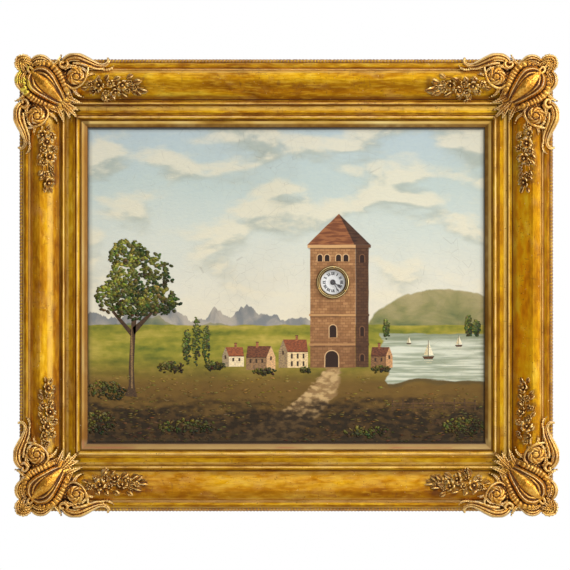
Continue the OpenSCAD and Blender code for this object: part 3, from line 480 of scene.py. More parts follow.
# %% Sight slip
def slip_gilding():
    recipe, spot, x, _, z = new_recipe("pale_gilding")
    inward = across_rail(x, z)
    low = z.above(MID_Z - 280, MID_Z - 292)
    painted_left_shade = x.above(-360, -366) * (1 - low)
    streaks = recipe.noise(spot, 40, 6, (0.2, 1, 0.2))
    red = recipe.noise(spot, 24, 4, (0.35, 1, 1), (0.5, 0, 0.3)).above(0.53, 0.62)
    rubbed = red * low * (inward - 116.0).size().above(2.6, 0.8)
    mottled = recipe.noise(spot, 70, 5, shift=(0.1, 0.6, 0.3))
    # Painted shade on the slip's inner slope, less along the bottom
    shade = inward.above(115.6, 119.5) * (0.85 - low * 0.6) * (mottled * 0.6 + 0.62)
    colour = recipe.layers(
        recipe.ramp(streaks, (0.34, 160, 112, 30), (0.48, 222, 176, 84), (0.66, 248, 218, 138)),
        (low * 0.85, recipe.blend(streaks, (142, 108, 58), (184, 150, 88))),
        (rubbed * 0.6, (168, 98, 62)),
        (shade, (104, 64, 16)),
        # Painted shade along the left side, and dark painted shadow lines at both edges and at the bottom's
        # inner edge
        (painted_left_shade * 0.7, (112, 72, 22)),
        (lines_at(inward, ((112.4, 0.9, 0.9), (124.4, 1.7, 1.0))) * 0.85, (72, 44, 18)),
        (low * inward.above(121.4, 122.6) * 0.8, (58, 32, 14)),
    )
    return recipe.finish(
        Base_Color=colour,
        Metallic=0.75 - low * 0.55,
        Roughness=0.38 + low * 0.2,
        Normal=recipe.bump(streaks, 0.0004),
    )


dress(slip_gilding(), "sight_slip")

# %% [markdown]
# The corner pieces were cast in composition and glued on. They are a relief, so a fine height
# map over the corner fits them: each scroll, leaf or petal is a stroke of varying width whose
# height rises over its middle line, and the tallest stroke wins at every point, which gives the
# sharp creases of carved work. The map is then closed behind and mirrored to all four corners.

# %% Strokes of the corner relief
# Every stroke is a row of [a, b, half width, height]: a runs along the top rail and b down from
# its outer edge, both in millimetres from the top left corner, and height counts from the
# frame's back.
GRID_STEP = 0.8
GRID_LOW = -14.0
GRID_HIGH = 174.0
axis = np.arange(GRID_LOW, GRID_HIGH + GRID_STEP, GRID_STEP)
GRID_A, GRID_B = np.meshgrid(axis, axis, indexing="ij")


def swelling_height(distance):
    """Height of a rail's swelling above the frame's back, as the CAD profile has it."""
    outer = 45 + 13 * np.sqrt(np.clip(1 - ((37 - distance) / 17.5) ** 2, 0, 1))
    inner = 58 - 25 * np.clip((distance - 37) / 37, 0, 1) ** 1.35
    return np.where(distance < 37, outer, inner)


def rail_height(distance):
    """Height of the rail's surface at a distance in from its outer edge."""
    height = swelling_height(distance)
    for edge, step in ((19.5, 44.0), (17.5, 48.0), (5.5, 43.0)):
        height = np.where(distance < edge, step, height)
    for edge, step in ((74, 34.0), (83, 28.0), (109.5, 22.0)):
        height = np.where(distance > edge, step, height)
    return height


def smooth_path(points, parts=6):
    """Catmull-Rom curve through the points."""
    points = np.array(points, float)
    padded = np.vstack([2 * points[0] - points[1], points, 2 * points[-1] - points[-2]])
    path = []
    for p0, p1, p2, p3 in zip(padded, padded[1:], padded[2:], padded[3:]):
        for t in np.linspace(0, 1, parts, endpoint=False):
            path.append(0.5 * (2 * p1 + (p2 - p0) * t + (2 * p0 - 5 * p1 + 4 * p2 - p3) * t**2
                               + (3 * p1 - p0 - 3 * p2 + p3) * t**3))
    path.append(points[-1])
    return np.array(path)


def stroke_field(path, a=None, b=None):
    """For every grid point: share of the half width away from the stroke, its signed side, the
    distance run along it, its half width and its height there, and how far inside it lies."""
    a = GRID_A if a is None else a
    b = GRID_B if b is None else b
    best = np.full(a.shape, -1e9)
    share, side, run, wide, top = (np.zeros(a.shape) for _ in range(5))
    gone = 0.0
    for start, end in zip(path, path[1:]):
        step = end[:2] - start[:2]
        length = math.hypot(*step) or 1e-9
        t = np.clip(((a - start[0]) * step[0] + (b - start[1]) * step[1]) / length**2, 0, 1)
        da = a - start[0] - t * step[0]
        db = b - start[1] - t * step[1]
        away = np.hypot(da, db)
        half = start[2] + (end[2] - start[2]) * t
        inside = half - away
        closer = inside > best
        best = np.where(closer, inside, best)
        share = np.where(closer, away / half, share)
        side = np.where(closer, np.sign(step[0] * db - step[1] * da), side)
        run = np.where(closer, gone + t * length, run)
        wide = np.where(closer, half, wide)
        top = np.where(closer, start[3] + (end[3] - start[3]) * t, top)
        gone += length
    return share, side, run, wide, top, best


def carve(kind, path):
    """Height of one stroke over the grid, and its inside distance."""
    share, side, run, wide, top, inside = stroke_field(path)
    q = np.clip(share, 0, 1)
    dome = 1 - np.sqrt(1 - q**2)
    height = top - np.minimum(wide * 1.1, 10.0) * dome
    if kind == "fluted":
        height -= 3.0 * np.exp(-((np.sin(side * q * 3.9 + 0.6) / 0.5) ** 2)) * (1 - q**6)
    if kind == "gadroon":
        height += 2.4 * (np.abs(np.sin((run + 2.2 * np.sin(run / 9)) * math.pi / 7.2)) ** 0.7 - 0.8)
    if kind == "leaf":
        ribs = 1.9 * np.cos((run / 4.0 - q * 1.3) * 2 * math.pi) * q
        height += ribs - 2.0 * np.exp(-((q / 0.16) ** 2))
        inside = inside - 1.5 * (0.5 - 0.5 * np.cos((run / 5.0) * 2 * math.pi))
    if kind == "rim":
        height += 1.2 * np.cos(side * q * 4.7)
    if kind == "rosette":
        angle = np.arctan2(GRID_B - path[0][1], GRID_A - path[0][0]) + 1.8 * q
        height = top - 7.0 * q**2 + 2.2 * np.abs(np.cos(angle * 3.5)) * (1 - np.exp(-((q / 0.5) ** 2)))
        height -= 2.4 * np.exp(-(((q - 0.42 - 0.1 * np.sin(angle)) / 0.09) ** 2))
    return height, inside


SIDE_STROKES = (
    ("leaf", [(-3, -3, 4.2, 56), (4, -5, 5.6, 60), (12, -4.5, 5.4, 61), (20, 0, 3, 58)]),
    ("leaf", [(1, 4, 3.6, 57), (9, 4, 4.8, 61), (17, 6, 4.4, 60), (24, 11, 2.4, 58)]),
    ("fluted", [(22, 4, 3, 57), (28, -1, 5.4, 61), (36, -3.5, 6.4, 63), (45, -2.5, 6, 63),
                (54, 3, 4.4, 60), (62, 9, 2.6, 57)]),
    ("leaf", [(25, 10, 3, 60), (33, 6, 4.6, 63), (43, 5, 4.4, 63), (53, 9, 3, 61)]),
    ("leaf", [(62, 12, 2.6, 59), (69, 5, 3.6, 61), (74, -2, 3.4, 60), (76, -8, 1.6, 57)]),
    ("fluted", [(80, 6, 5, 61), (87, -1, 7, 65), (97, -4.5, 8.2, 67), (109, -4, 8.2, 67),
                (122, 1, 7.4, 65), (135, 7, 6, 62), (147, 11, 4.6, 59), (157, 10, 3.8, 58),
                (163, 4.5, 3.2, 57), (162, -2, 2.2, 56)]),
    ("roll", [(87, 4, 2.4, 65), (88, 10, 2.8, 66), (82, 15, 2.8, 66), (75, 12, 2.4, 65),
              (75, 6, 2.2, 64), (80, 6, 2, 64)]),
    ("roll", [(100, 7, 2.6, 63), (113, 8, 3, 63), (126, 12, 2.8, 61), (140, 17, 2.4, 59),
              (152, 18, 1.8, 57)]),
    ("leaf", [(150, 17, 2.4, 56), (158, 19, 3.2, 57), (167, 17, 3, 57), (173, 12, 1.6, 56)]),
    ("gadroon", [(30, 16, 4.6, 61), (39, 10, 6, 63), (51, 9.5, 6.8, 64), (63, 15, 7.2, 65),
                 (72, 26, 7.2, 66), (79, 39, 6.8, 64), (84, 51, 6, 60), (88, 62, 4, 53)]),
    ("rim", [(27, 20, 3.5, 64), (36, 17, 4.2, 67), (49, 20, 4.4, 69), (60, 31, 4.2, 68), (68, 45, 4, 65),
             (75, 58, 3.4, 60), (80, 70, 2.6, 53)]),
    ("roll", [(33, 24, 2, 65), (46, 27, 2.2, 68), (57, 37, 2.2, 67), (66, 50, 2, 63),
              (75, 66, 1.8, 55)]),
    ("rosette", [(103, 31, 15, 68), (103.4, 31, 15, 68)]),
    ("roll", [(126, 13, 2.2, 60), (125, 22, 2.8, 62), (122, 33, 3, 63), (115, 44, 3, 62),
              (105, 51, 2.6, 60), (95, 52, 2.2, 59), (88, 47, 1.8, 60)]),
    ("leaf", [(84, 17, 3, 62), (90, 13, 3.8, 64), (98, 13, 3.4, 64), (106, 14, 2, 62)]),
    ("leaf", [(110, 15, 2.4, 62), (117, 17, 3.4, 63), (122, 23, 2.4, 61)]),
    ("leaf", [(88, 52, 3, 58), (91, 60, 4, 53), (95, 68, 3.6, 46), (99, 74, 2, 40)]),
    ("leaf", [(99, 54, 3, 58), (104, 62, 3.8, 54), (110, 67, 2.6, 50), (117, 69, 1.4, 47)]),
    ("leaf", [(82, 66, 4, 50), (91, 71, 5.5, 48), (102, 76, 4.5, 45), (114, 80, 1.6, 41)]),
    ("leaf", [(80, 77, 4, 46), (89, 83, 5, 45), (100, 89, 4, 42), (110, 93, 1.6, 36)]),
    ("roll", [(76, 72, 4, 51), (84, 74, 4, 49), (92, 78, 2.5, 44)]),
    ("leaf", [(124, 30, 2.5, 62), (131, 27, 3.4, 62), (138, 27, 1.6, 59)]),
    ("leaf", [(121, 40, 2, 61), (128, 41, 3.2, 61), (137, 38, 1.6, 59)]),
)
MIDDLE_STROKES = (
    ("roll", [(24, 24, 5, 63), (30, 30, 8, 67), (40, 40, 11.5, 71), (49, 49, 12.5, 72),
              (58, 58, 10.5, 68), (67, 67, 7, 61), (76, 76, 3, 53)]),
    ("leaf", [(78, 78, 4, 50), (87, 87, 5.5, 47), (98, 98, 4.5, 42), (109, 109, 1.6, 35)]),
    ("roll", [(25, 19, 2.2, 63), (24, 25, 2.2, 64), (18, 24, 2.2, 63), (15, 18, 2.2, 62),
              (19, 14, 2.2, 62), (25, 19, 2.2, 63)]),
    ("leaf", [(3, 3, 3, 57), (8, 8, 4.4, 61), (14, 14, 2.6, 61)]),
)
print(len(SIDE_STROKES) * 2 + len(MIDDLE_STROKES), "strokes in a corner")

# %% [markdown]
# Between the strokes lies a thin ground, which follows the rails' swelling and is covered with
# small pebbles. A little noise takes away the computer's evenness. The difference between the
# map and a blurred copy of it tells the gilding what is a hollow, which gets dirt and painted
# shade, and what is a crown, which gets a painted highlight.


# %% Height map of one corner
def soft_noise(shape, cells, seed):
    """Smooth value noise from a fixed seed."""
    table = np.random.default_rng(seed).random((cells + 2, cells + 2))
    u = np.linspace(0, cells - 1e-6, shape[0])
    v = np.linspace(0, cells - 1e-6, shape[1])
    iu, iv = u.astype(int), v.astype(int)
    fu, fv = u - iu, v - iv
    fu, fv = (fu * fu * (3 - 2 * fu))[:, None], (fv * fv * (3 - 2 * fv))[None, :]
    low = table[np.ix_(iu, iv)] * (1 - fu) + table[np.ix_(iu + 1, iv)] * fu
    high = table[np.ix_(iu, iv + 1)] * (1 - fu) + table[np.ix_(iu + 1, iv + 1)] * fu
    return low * (1 - fv) + high * fv


def blurred(field, times):
    for _ in range(times):
        wider = np.pad(field, 1, mode="edge")
        beside = wider[:-2, 1:-1] + wider[2:, 1:-1] + wider[1:-1, :-2] + wider[1:-1, 2:]
        field = (beside + 4 * field) / 8
    return field


# Pitch and height of the pebbles, how high the ground lies over the rail, and how far outside
# its own outline a stroke still counts, in millimetres
PEBBLE_PITCH = 6.2
PEBBLE_HEIGHT = 1.9
GROUND_LIFT = 1.2
STROKE_OVER = 0.8
NOTHING = -100.0


def corner_relief():
    """Heights over the corner, and the distance inside the ornament's outline."""
    across = np.minimum(GRID_A, GRID_B)
    ground_path = smooth_path([(6, 6, 8, 52), (40, 40, 36, 60), (76, 76, 16, 50)])
    ground_inside = stroke_field(ground_path)[5]
    for strip in ([(12, 8, 9, 0), (60, 18, 16, 0), (98, 24, 17, 0), (108, 34, 10, 0)],
                  [(70, 60, 14, 0), (96, 50, 12, 0)]):
        path = smooth_path(strip)
        ground_inside = np.maximum(ground_inside, stroke_field(path)[5])
        ground_inside = np.maximum(ground_inside, stroke_field(path, GRID_B, GRID_A)[5])
    along = (GRID_A + GRID_B) / PEBBLE_PITCH % 1 - 0.5
    aside = (GRID_A - GRID_B) / PEBBLE_PITCH % 1 - 0.5
    pebbles = np.sqrt(np.clip(1 - (along**2 + aside**2) / 0.2, 0, 1))
    ground = blurred(rail_height(across), 12) + GROUND_LIFT + PEBBLE_HEIGHT * pebbles
    height = np.where(ground_inside > 0, ground, NOTHING)
    inside = ground_inside
    paths = []
    for kind, points in SIDE_STROKES:
        path = smooth_path(points)
        paths += [(kind, path), (kind, path[:, [1, 0, 2, 3]])]
    paths += [(kind, smooth_path(points)) for kind, points in MIDDLE_STROKES]
    for kind, path in paths:
        stroke_height, stroke_inside = carve(kind, path)
        height = np.where(stroke_inside > -STROKE_OVER, np.maximum(height, stroke_height), height)
        inside = np.maximum(inside, stroke_inside)
    rough = soft_noise(GRID_A.shape, 90, 5) - 0.5 + 0.6 * (soft_noise(GRID_A.shape, 200, 6) - 0.5)
    return height + 0.5 * rough, inside


# The height that the relief's edge runs down to, in millimetres
RELIEF_FOOT = 40.0
relief_height, relief_inside = corner_relief()
used = relief_inside > 0
relief_height = np.where(used, relief_height, np.maximum(blurred(relief_height, 1), RELIEF_FOOT))
solid = np.where(used, relief_height, blurred(rail_height(np.minimum(GRID_A, GRID_B)), 4))
deep_map = np.clip(blurred(solid, 70) - solid, 0, 5) / 6
hollow_map = np.clip((solid - blurred(solid, 18)) / 2.2 - deep_map, -1, 1)
relief_span = [round(float(end), 1) for end in (relief_height[used].min(), relief_height[used].max())]
print("relief from", relief_span[0], "to", relief_span[1], "mm")

# %% [markdown]
# A closed mesh comes from the map: the cells inside the outline make the front, the same cells
# turned over make the back, and walls join them at the edge. Edge points slide onto the
# outline, so that it runs smooth and doesn't step from cell to cell.


# %% Corner meshes
def mesh_object(name, vertices, faces, material, smooth=True):
    mesh = bpy.data.meshes.new(name)
    mesh.from_pydata([tuple(v) for v in vertices], [], [tuple(f) for f in faces])
    mesh.validate()
    mesh.materials.append(material)
    mesh.shade_smooth() if smooth else mesh.shade_flat()
    return linked(name, mesh)


VALUE_KEYS = {"FLOAT": "value", "FLOAT_VECTOR": "vector", "FLOAT_COLOR": "color"}


def give_values(mesh, label, kind, values):
    """Stores a number, a vector or a colour with every point."""
    stored = mesh.attributes.new(label, kind, "POINT").data
    stored.foreach_set(VALUE_KEYS[kind], np.array(values, np.float32).ravel())


# The furthest the casts reach beyond the rails' edge, and their greatest height, in millimetres
CAST_REACH = 11.9
CAST_TOP = 71.9


def relief_cells():
    """Vertices in [a, b, height, base], their hollow value, and the faces of a closed relief."""
    # Cells that touch the inside and have no point more than a step or so outside
    ok = relief_inside > 0
    cell = ok[:-1, :-1] | ok[1:, :-1] | ok[:-1, 1:] | ok[1:, 1:]
    core = relief_inside > -GRID_STEP * 1.2
    cell &= core[:-1, :-1] & core[1:, :-1] & core[:-1, 1:] & core[1:, 1:]
    near = (GRID_A > -CAST_REACH) & (GRID_B > -CAST_REACH)
    cell &= near[1:, 1:]
    point = np.zeros(ok.shape, bool)
    for di in (0, 1):
        for dj in (0, 1):
            point[di: ok.shape[0] - 1 + di, dj: ok.shape[1] - 1 + dj] |= cell
    number = -np.ones(ok.shape, int)
    number[point] = np.arange(point.sum())
    # Points outside slide back onto the outline
    grad_a, grad_b = np.gradient(blurred(relief_inside, 1), GRID_STEP)
    size = np.maximum(np.hypot(grad_a, grad_b), 0.5)
    slide = np.clip(relief_inside, -1.2, 0) / size
    a = np.maximum((GRID_A - slide * grad_a / size)[point], -CAST_REACH)
    b = np.maximum((GRID_B - slide * grad_b / size)[point], -CAST_REACH)
    top = np.where(near, np.minimum(relief_height, CAST_TOP), RELIEF_FOOT)[point]
    # The back lies just inside the rail, and beyond the rail's edge it hangs behind the front
    base = np.minimum(rail_height(np.minimum(a, b)) - 1.0, top - 2.5)
    base = np.where(np.minimum(a, b) < 0.5, np.minimum(top - 9.0, 52.0), base)
    # The front, the same cells turned over, and a wall on every edge that only one cell has
    i, j = np.nonzero(cell)
    quads = np.stack([number[i, j], number[i + 1, j], number[i + 1, j + 1], number[i, j + 1]], 1)
    count = int(point.sum())
    edges = {}
    for quad in quads:
        for k in range(4):
            edges[(quad[k], quad[(k + 1) % 4])] = True
    walls = [(u, u + count, v + count, v) for (u, v) in edges if (v, u) not in edges]
    faces = [tuple(q) for q in quads] + [tuple(q[::-1] + count) for q in quads] + walls
    return a, b, top, base, np.where(near, hollow_map, -1.0)[point], faces


def to_frame(a, b, height, mirror_x, mirror_z):
    """Corner measures to metres in the clock's frame."""
    x = (-HALF_W + a * MM) * (-1 if mirror_x else 1)
    z = FRAME_MID_Z + (HALF_H - b * MM) * (-1 if mirror_z else 1)
    return np.stack([x, FRAME_BACK_Y - height * MM, z], -1)


relief_a, relief_b, relief_top, relief_base, relief_hollow, relief_faces = relief_cells()
print(len(relief_a) * 2, "points and", len(relief_faces), "faces in a corner")


def ornament_gilding():
    """Leaf with a painted highlight on the crowns, brown dirt and painted shade in the hollows, and a few
    brighter repairs.
    """
    recipe, spot, x, _, z = new_recipe("ornament_gilding")
    hollow = recipe.add("ShaderNodeAttribute", {"attribute_name": "hollow"}, out="Fac")
    clouds = recipe.noise(spot, 34, 5)
    fine = recipe.noise(spot, 260, 4)
    rubbed_and_highlit_crowns = hollow.above(0.12, 0.65)
    dirt_and_shade = hollow.above(0.05, -0.42)
    rub = recipe.noise(spot, 55, 4, shift=(0.4, 0.2, 0.9)).above(0.56, 0.66) * rubbed_and_highlit_crowns
    repair = recipe.noise(spot, 70, 3, shift=(0.8, 0, 0.1)).above(0.50, 0.56)
    where = x.above(-462, -476) * (z + 2).size().above(34, 24)
    colour = recipe.layers(
        recipe.ramp(
            clouds * 0.6 + fine * 0.4,
            (0.34, 142, 86, 18),
            (0.50, 202, 140, 42),
            (0.66, 238, 190, 92),
        ),
        # Painted highlight on the crowns, stronger on petal tips and buttons
        (rubbed_and_highlit_crowns * 0.45 + hollow.above(0.8, 1.4) * 0.5, (255, 228, 162)),
        # Brown dirt and painted shade in the hollows
        (dirt_and_shade * 0.95, (76, 36, 4)),
        (rub * 0.6, (214, 186, 152)),
        (repair * where * (1 - dirt_and_shade) * 0.85, (226, 204, 74)),
    )
    return recipe.finish(
        Base_Color=colour,
        Metallic=0.84 - dirt_and_shade * 0.6 - rub * 0.4,
        Roughness=0.20 + clouds * 0.14 + dirt_and_shade * 0.4,
        Normal=recipe.bump(fine * 0.4 + clouds * 0.6, 0.0005),
    )


gilt_ornament = ornament_gilding()
for mirror_x in (False, True):
    for mirror_z in (False, True):
        name = "corner_relief_" + ("bottom" if mirror_z else "top") + ("_right" if mirror_x else "_left")
        front = to_frame(relief_a, relief_b, relief_top, mirror_x, mirror_z)
        back = to_frame(relief_a, relief_b, relief_base, mirror_x, mirror_z)
        turned = mirror_x != mirror_z
        faces = relief_faces if turned else [face[::-1] for face in relief_faces]
        corner = mesh_object(name, np.vstack([front, back]), faces, gilt_ornament)
        values = np.concatenate([relief_hollow, np.full(len(relief_a), -0.4)])
        give_values(corner.data, "hollow", "FLOAT", values)
        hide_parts("corner_ornaments")
        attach(corner, "door")

# %% [markdown]
# What repeats on the frame is placed by Geometry Nodes: petals, leaves and dabs of paint are one
# small shape each, set down many times. One tree serves them all. It reads a turn, a size and a
# colour from every point, puts the shape there, and makes the instances real at its end,
# because an exported model can't keep them.


# %% A tree that scatters one shape
class GeometryRecipe(Recipe):
    """A Recipe that fills a Geometry Nodes tree with named inputs."""

    def __init__(self, name, **inputs):
        tree = bpy.data.node_groups.new(name, "GeometryNodeTree")
        super().__init__(tree)
        tree.interface.new_socket("Geometry", in_out="OUTPUT", socket_type="NodeSocketGeometry")
        tree.interface.new_socket("Geometry", in_out="INPUT", socket_type="NodeSocketGeometry")
        self.handles = {}
        for label, (kind, value) in inputs.items():
            socket = tree.interface.new_socket(label.replace("_", " "), in_out="INPUT", socket_type=kind)
            if value is not None:
                socket.default_value = value
            self.handles[label] = socket.identifier
        self.given = self.add("NodeGroupInput")

    def end(self, shape):
        """Real faces, smooth shading and the piece's material, as the tree's last steps."""
        real = self.add("GeometryNodeRealizeInstances", sockets={"Geometry": shape})
        sockets = {"Geometry": real, "Material": self.given.out("Material")}
        painted = self.add("GeometryNodeSetMaterial", sockets=sockets)
        self.add("NodeGroupOutput", sockets={0: painted})

    def run(self, name, start, **values):
        """Evaluates the tree on a mesh and returns a plain mesh object."""
        holder = linked(name + "_points", start)
        modifier = holder.modifiers.new("nodes", "NODES")
        modifier.node_group = self.tree
        for label, value in values.items():
            modifier[self.handles[label]] = value
        graph = bpy.context.evaluated_depsgraph_get()
        mesh = bpy.data.meshes.new_from_object(holder.evaluated_get(graph), depsgraph=graph)
        bpy.data.objects.remove(holder)
        mesh.name = name
        return linked(name, mesh)


MATERIAL = ("NodeSocketMaterial", None)
scatter = GeometryRecipe(
    "scatter",
    Shape=("NodeSocketObject", None),
    Grow=("NodeSocketFloat", 1.0),
    Material=MATERIAL,
)
shape_given = {"Object": scatter.given.out("Shape")}
shape_info = scatter.add("GeometryNodeObjectInfo", sockets=shape_given, out="Geometry")
vector_attribute = {"data_type": "FLOAT_VECTOR"}
turn = scatter.add("GeometryNodeInputNamedAttribute", vector_attribute, {"Name": "turn"})
reach = scatter.add("GeometryNodeInputNamedAttribute", vector_attribute, {"Name": "reach"})
growth = {0: reach, "Scale": scatter.given.out("Grow")}
grown = scatter.add("ShaderNodeVectorMath", {"operation": "SCALE"}, growth)
as_rotation = scatter.add("FunctionNodeEulerToRotation", sockets={0: turn})
points = scatter.add("GeometryNodeMeshToPoints", sockets={"Mesh": scatter.given})
placed = {"Points": points, "Instance": shape_info, "Rotation": as_rotation, "Scale": grown}
scatter.end(scatter.add("GeometryNodeInstanceOnPoints", sockets=placed))


def scattered(name, shape, spots, material, **extra):
    """Sets the shape on spots, a list of (place, turn, reach), and carries extra attributes along."""
    mesh = bpy.data.meshes.new(name + "_spots")
    mesh.from_pydata([tuple(spot[0]) for spot in spots], [], [])
    for label, column in (("turn", 1), ("reach", 2)):
        give_values(mesh, label, "FLOAT_VECTOR", [tuple(spot[column]) for spot in spots])
    for label, values in extra.items():
        give_values(mesh, label, "FLOAT_COLOR", values)
    piece = scatter.run(name, mesh, Shape=shape, Material=material)
    bpy.data.objects.remove(shape)
    for label in ("turn", "reach"):
        if label in piece.data.attributes:
            piece.data.attributes.remove(piece.data.attributes[label])
    print(name, len(spots), "times,", len(piece.data.polygons), "faces")
    return piece


# %% [markdown]
# Along the frame's outer edge runs a fine rope: small slanted beads, one after the other. A
# curve round the edge is cut into equal lengths, and a low bead is set on every cut, leaning
# along the curve.

# %% Rope edge
# How far in from the frame's outer edge the rope lies, and how far before the frame's back
EDGE_IN = 2.75 * MM
EDGE_UP = 43.4 * MM
rope = GeometryRecipe(
    "rope",
    Pitch=("NodeSocketFloat", 6.2 * MM),
    Length=("NodeSocketFloat", 4.4 * MM),
    Thickness=("NodeSocketFloat", 3.3 * MM),
    Slant=("NodeSocketFloat", math.radians(32)),
    Material=MATERIAL,
)
curve = rope.add("GeometryNodeMeshToCurve", sockets={"Mesh": rope.given})
cut_every = {"Curve": curve, "Length": rope.given.out("Pitch")}
cut = rope.add("GeometryNodeResampleCurve", {"mode": "LENGTH"}, cut_every)
tangent = rope.add("GeometryNodeInputTangent")
aligned = rope.add("FunctionNodeAlignRotationToVector", {"axis": "X"}, {"Vector": tangent})
lean = rope.add("ShaderNodeCombineXYZ", sockets={"Y": rope.given.out("Slant")})
leaned = rope.add("FunctionNodeRotateRotation", {"rotation_space": "LOCAL"}, {0: aligned, 1: lean})
ball = rope.add("GeometryNodeMeshUVSphere", sockets={"Segments": 8, "Rings": 5, "Radius": 1.0})
sizes = {"X": rope.given.out("Length"), "Y": rope.given.out("Thickness"), "Z": rope.given.out("Thickness")}
bead_size = rope.add("ShaderNodeCombineXYZ", sockets=sizes)
beads = {"Points": cut, "Instance": ball, "Rotation": leaned, "Scale": bead_size}
strung = rope.add("GeometryNodeInstanceOnPoints", sockets=beads)
rope.end(rope.add("GeometryNodeSetShadeSmooth", sockets={0: strung}))


def rope_gilding():
    """Little leaf is left on the edge: brown wood and grey-pink ground show on the beads."""
    recipe, spot, _, y, _ = new_recipe("worn_rope")
    crown = (BACK_Y - y).above(EDGE_UP / MM, EDGE_UP / MM + 2.2)
    patches = recipe.noise(spot, 40, 4)
    base = recipe.blend(patches.above(0.42, 0.6), (78, 46, 18), (116, 76, 32))
    pale = recipe.blend(patches.above(0.45, 0.62), (176, 130, 78), (204, 160, 96))
    return recipe.finish(
        Base_Color=recipe.blend(crown * 0.7, base, pale),
        Metallic=0.0,
        Roughness=0.6 + patches * 0.2,
        Normal=recipe.bump(recipe.noise(spot, 500, 3), 0.0004),
    )


edge_loop = bpy.data.meshes.new("edge_loop")
edge_x = HALF_W - EDGE_IN
edge_z = HALF_H - EDGE_IN
loop_points = [(edge_x * a, FRAME_BACK_Y - EDGE_UP, FRAME_MID_Z + edge_z * b) for a, b in SQUARE]
edge_loop.from_pydata(loop_points, [(0, 1), (1, 2), (2, 3), (3, 0)], [])
rope_edge = rope.run("rope_edge", edge_loop, Material=rope_gilding())
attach(rope_edge, "door")
print("rope edge:", len(rope_edge.data.polygons), "faces")

# %% [markdown]
# Sprays of small flowers lie on the swelling beside each corner. The blossom has five cupped
# petals round a button, and the leaf has a crease along its middle. Both are low meshes of a
# few dozen faces, closed behind, with a value that tells the gilding how deep each point lies:
# low values get dirt and painted shade, and high ones on petal tips and leaf edges a painted
# highlight.


# %% Blossom and leaf shapes
def shape_object(name, vertices, faces, hollow):
    shape = mesh_object(name, vertices, faces, gilt_ornament)
    give_values(shape.data, "hollow", "FLOAT", hollow)
    return shape


PETALS = 5


def blossom_shape():
    """A flower one unit in radius, facing +Z."""
    vertices, faces, hollow = [], [], []
    # Low values give dirt and painted shade, values above 1 on the petal tips a painted highlight
    half = [(0.12, 0.08, 0.14, -0.5), (0.52, 0.36, 0.34, 0.2), (0.92, 0.26, 0.56, 1.6)]
    mirrored = [(u, -v, w, deep) for u, v, w, deep in half]
    outline = [*mirrored, (0.86, 0.0, 0.36, 0.9), *half[::-1]]
    for petal in range(PETALS):
        angle = 2 * math.pi * petal / PETALS
        c, s = math.cos(angle), math.sin(angle)
        first = len(vertices)
        ring = outline + [(0.50, 0.0, 0.16, -0.35), (0.52, 0.0, -0.30, -1.0)]
        for u, v, w, deep in ring:
            vertices.append((u * c - v * s, u * s + v * c, w))
            hollow.append(deep)
        rim, top, bottom = len(outline), first + len(outline), first + len(outline) + 1
        for k in range(rim):
            here, there = first + k, first + (k + 1) % rim
            faces.append((here, there, top))
            faces.append((there, here, bottom))
    first = len(vertices)
    button = [(0.24, 0, 0.3), (0, 0.24, 0.3), (-0.24, 0, 0.3), (0, -0.24, 0.3), (0, 0, 0.56), (0, 0, -0.1)]
    vertices += button
    # The button's top gets a painted highlight, its underside painted shade
    hollow += [0.2, 0.2, 0.2, 0.2, 1.4, -1.0]
    for k in range(4):
        faces.append((first + k, first + (k + 1) % 4, first + 4))
        faces.append((first + (k + 1) % 4, first + k, first + 5))
    return shape_object("blossom", vertices, faces, hollow)


def leaf_shape():
    """A leaf one unit long along +X, creased along its middle, facing +Z."""
    stations = [(0.12, 0.10, 0.02), (0.35, 0.26, 0.16), (0.60, 0.28, 0.22), (0.82, 0.16, 0.16)]
    # The leaf's edges get a painted highlight, its crease and underside dirt and painted shade
    vertices, hollow = [(0, 0, 0), (1, 0, 0.05)], [-0.6, 0.6]
    for along, half, lift in stations:
        vertices += [(along, -half, lift), (along, 0, lift - 0.07), (along, half, lift), (along, 0, -0.1)]
        hollow += [1.3, -0.7, 1.3, -1.0]
    faces = []
    for k in range(len(stations) - 1):
        first, second = 2 + 4 * k, 6 + 4 * k
        for side in range(4):
            nxt = (side + 1) % 4
            faces.append((first + side, second + side, second + nxt, first + nxt))
    last = 2 + 4 * (len(stations) - 1)
    for side in range(4):
        nxt = (side + 1) % 4
        faces.append((0, 2 + side, 2 + nxt))
        faces.append((1, last + nxt, last + side))
    return shape_object("leaf", vertices, faces, hollow)


# %% [markdown]
# A spray is written once, as blossoms, leaves and stems in the corner's own measures, and seated
# on the swelling's slope at each of its eight places. The one on the upright rails is another
# cast, with a large open flower at its end.

# %% Flower sprays
# Blossoms as [a, b, radius], leaves as [a, b, length, direction in degrees]
ACROSS_BLOSSOMS = ((130, 44, 6), (137, 57, 6.5), (148, 46, 10.5), (158, 59, 6.5), (166, 43, 6.5),
                   (174, 56, 9.5), (187, 44, 10), (199, 54, 6), (203, 40, 4.8), (159, 71, 6.5),
                   (213, 49, 5.5))
ACROSS_LEAVES = ((139, 42, 14, -60), (150, 61, 15, 62), (166, 64, 12, 40), (172, 38, 14, -30),
                 (166, 51, 12, -15), (184, 58, 17, 34), (196, 36, 13, -35), (203, 55, 16, 26),
                 (206, 43, 17, -14), (214, 50, 21, 4), (212, 54, 15, 40), (127, 50, 13, 165),
                 (141, 50, 12, 70), (157, 40, 13, -62), (199, 48, 13, -5))
UPRIGHT_BLOSSOMS = ((126, 49, 5.5), (137, 42, 9), (142, 58, 6.5), (154, 48, 10.5), (165, 61, 6),
                    (168, 41, 6.5), (180, 53, 10), (192, 42, 6.5), (200, 55, 5.5), (210, 47, 6),
                    (225, 49, 11))
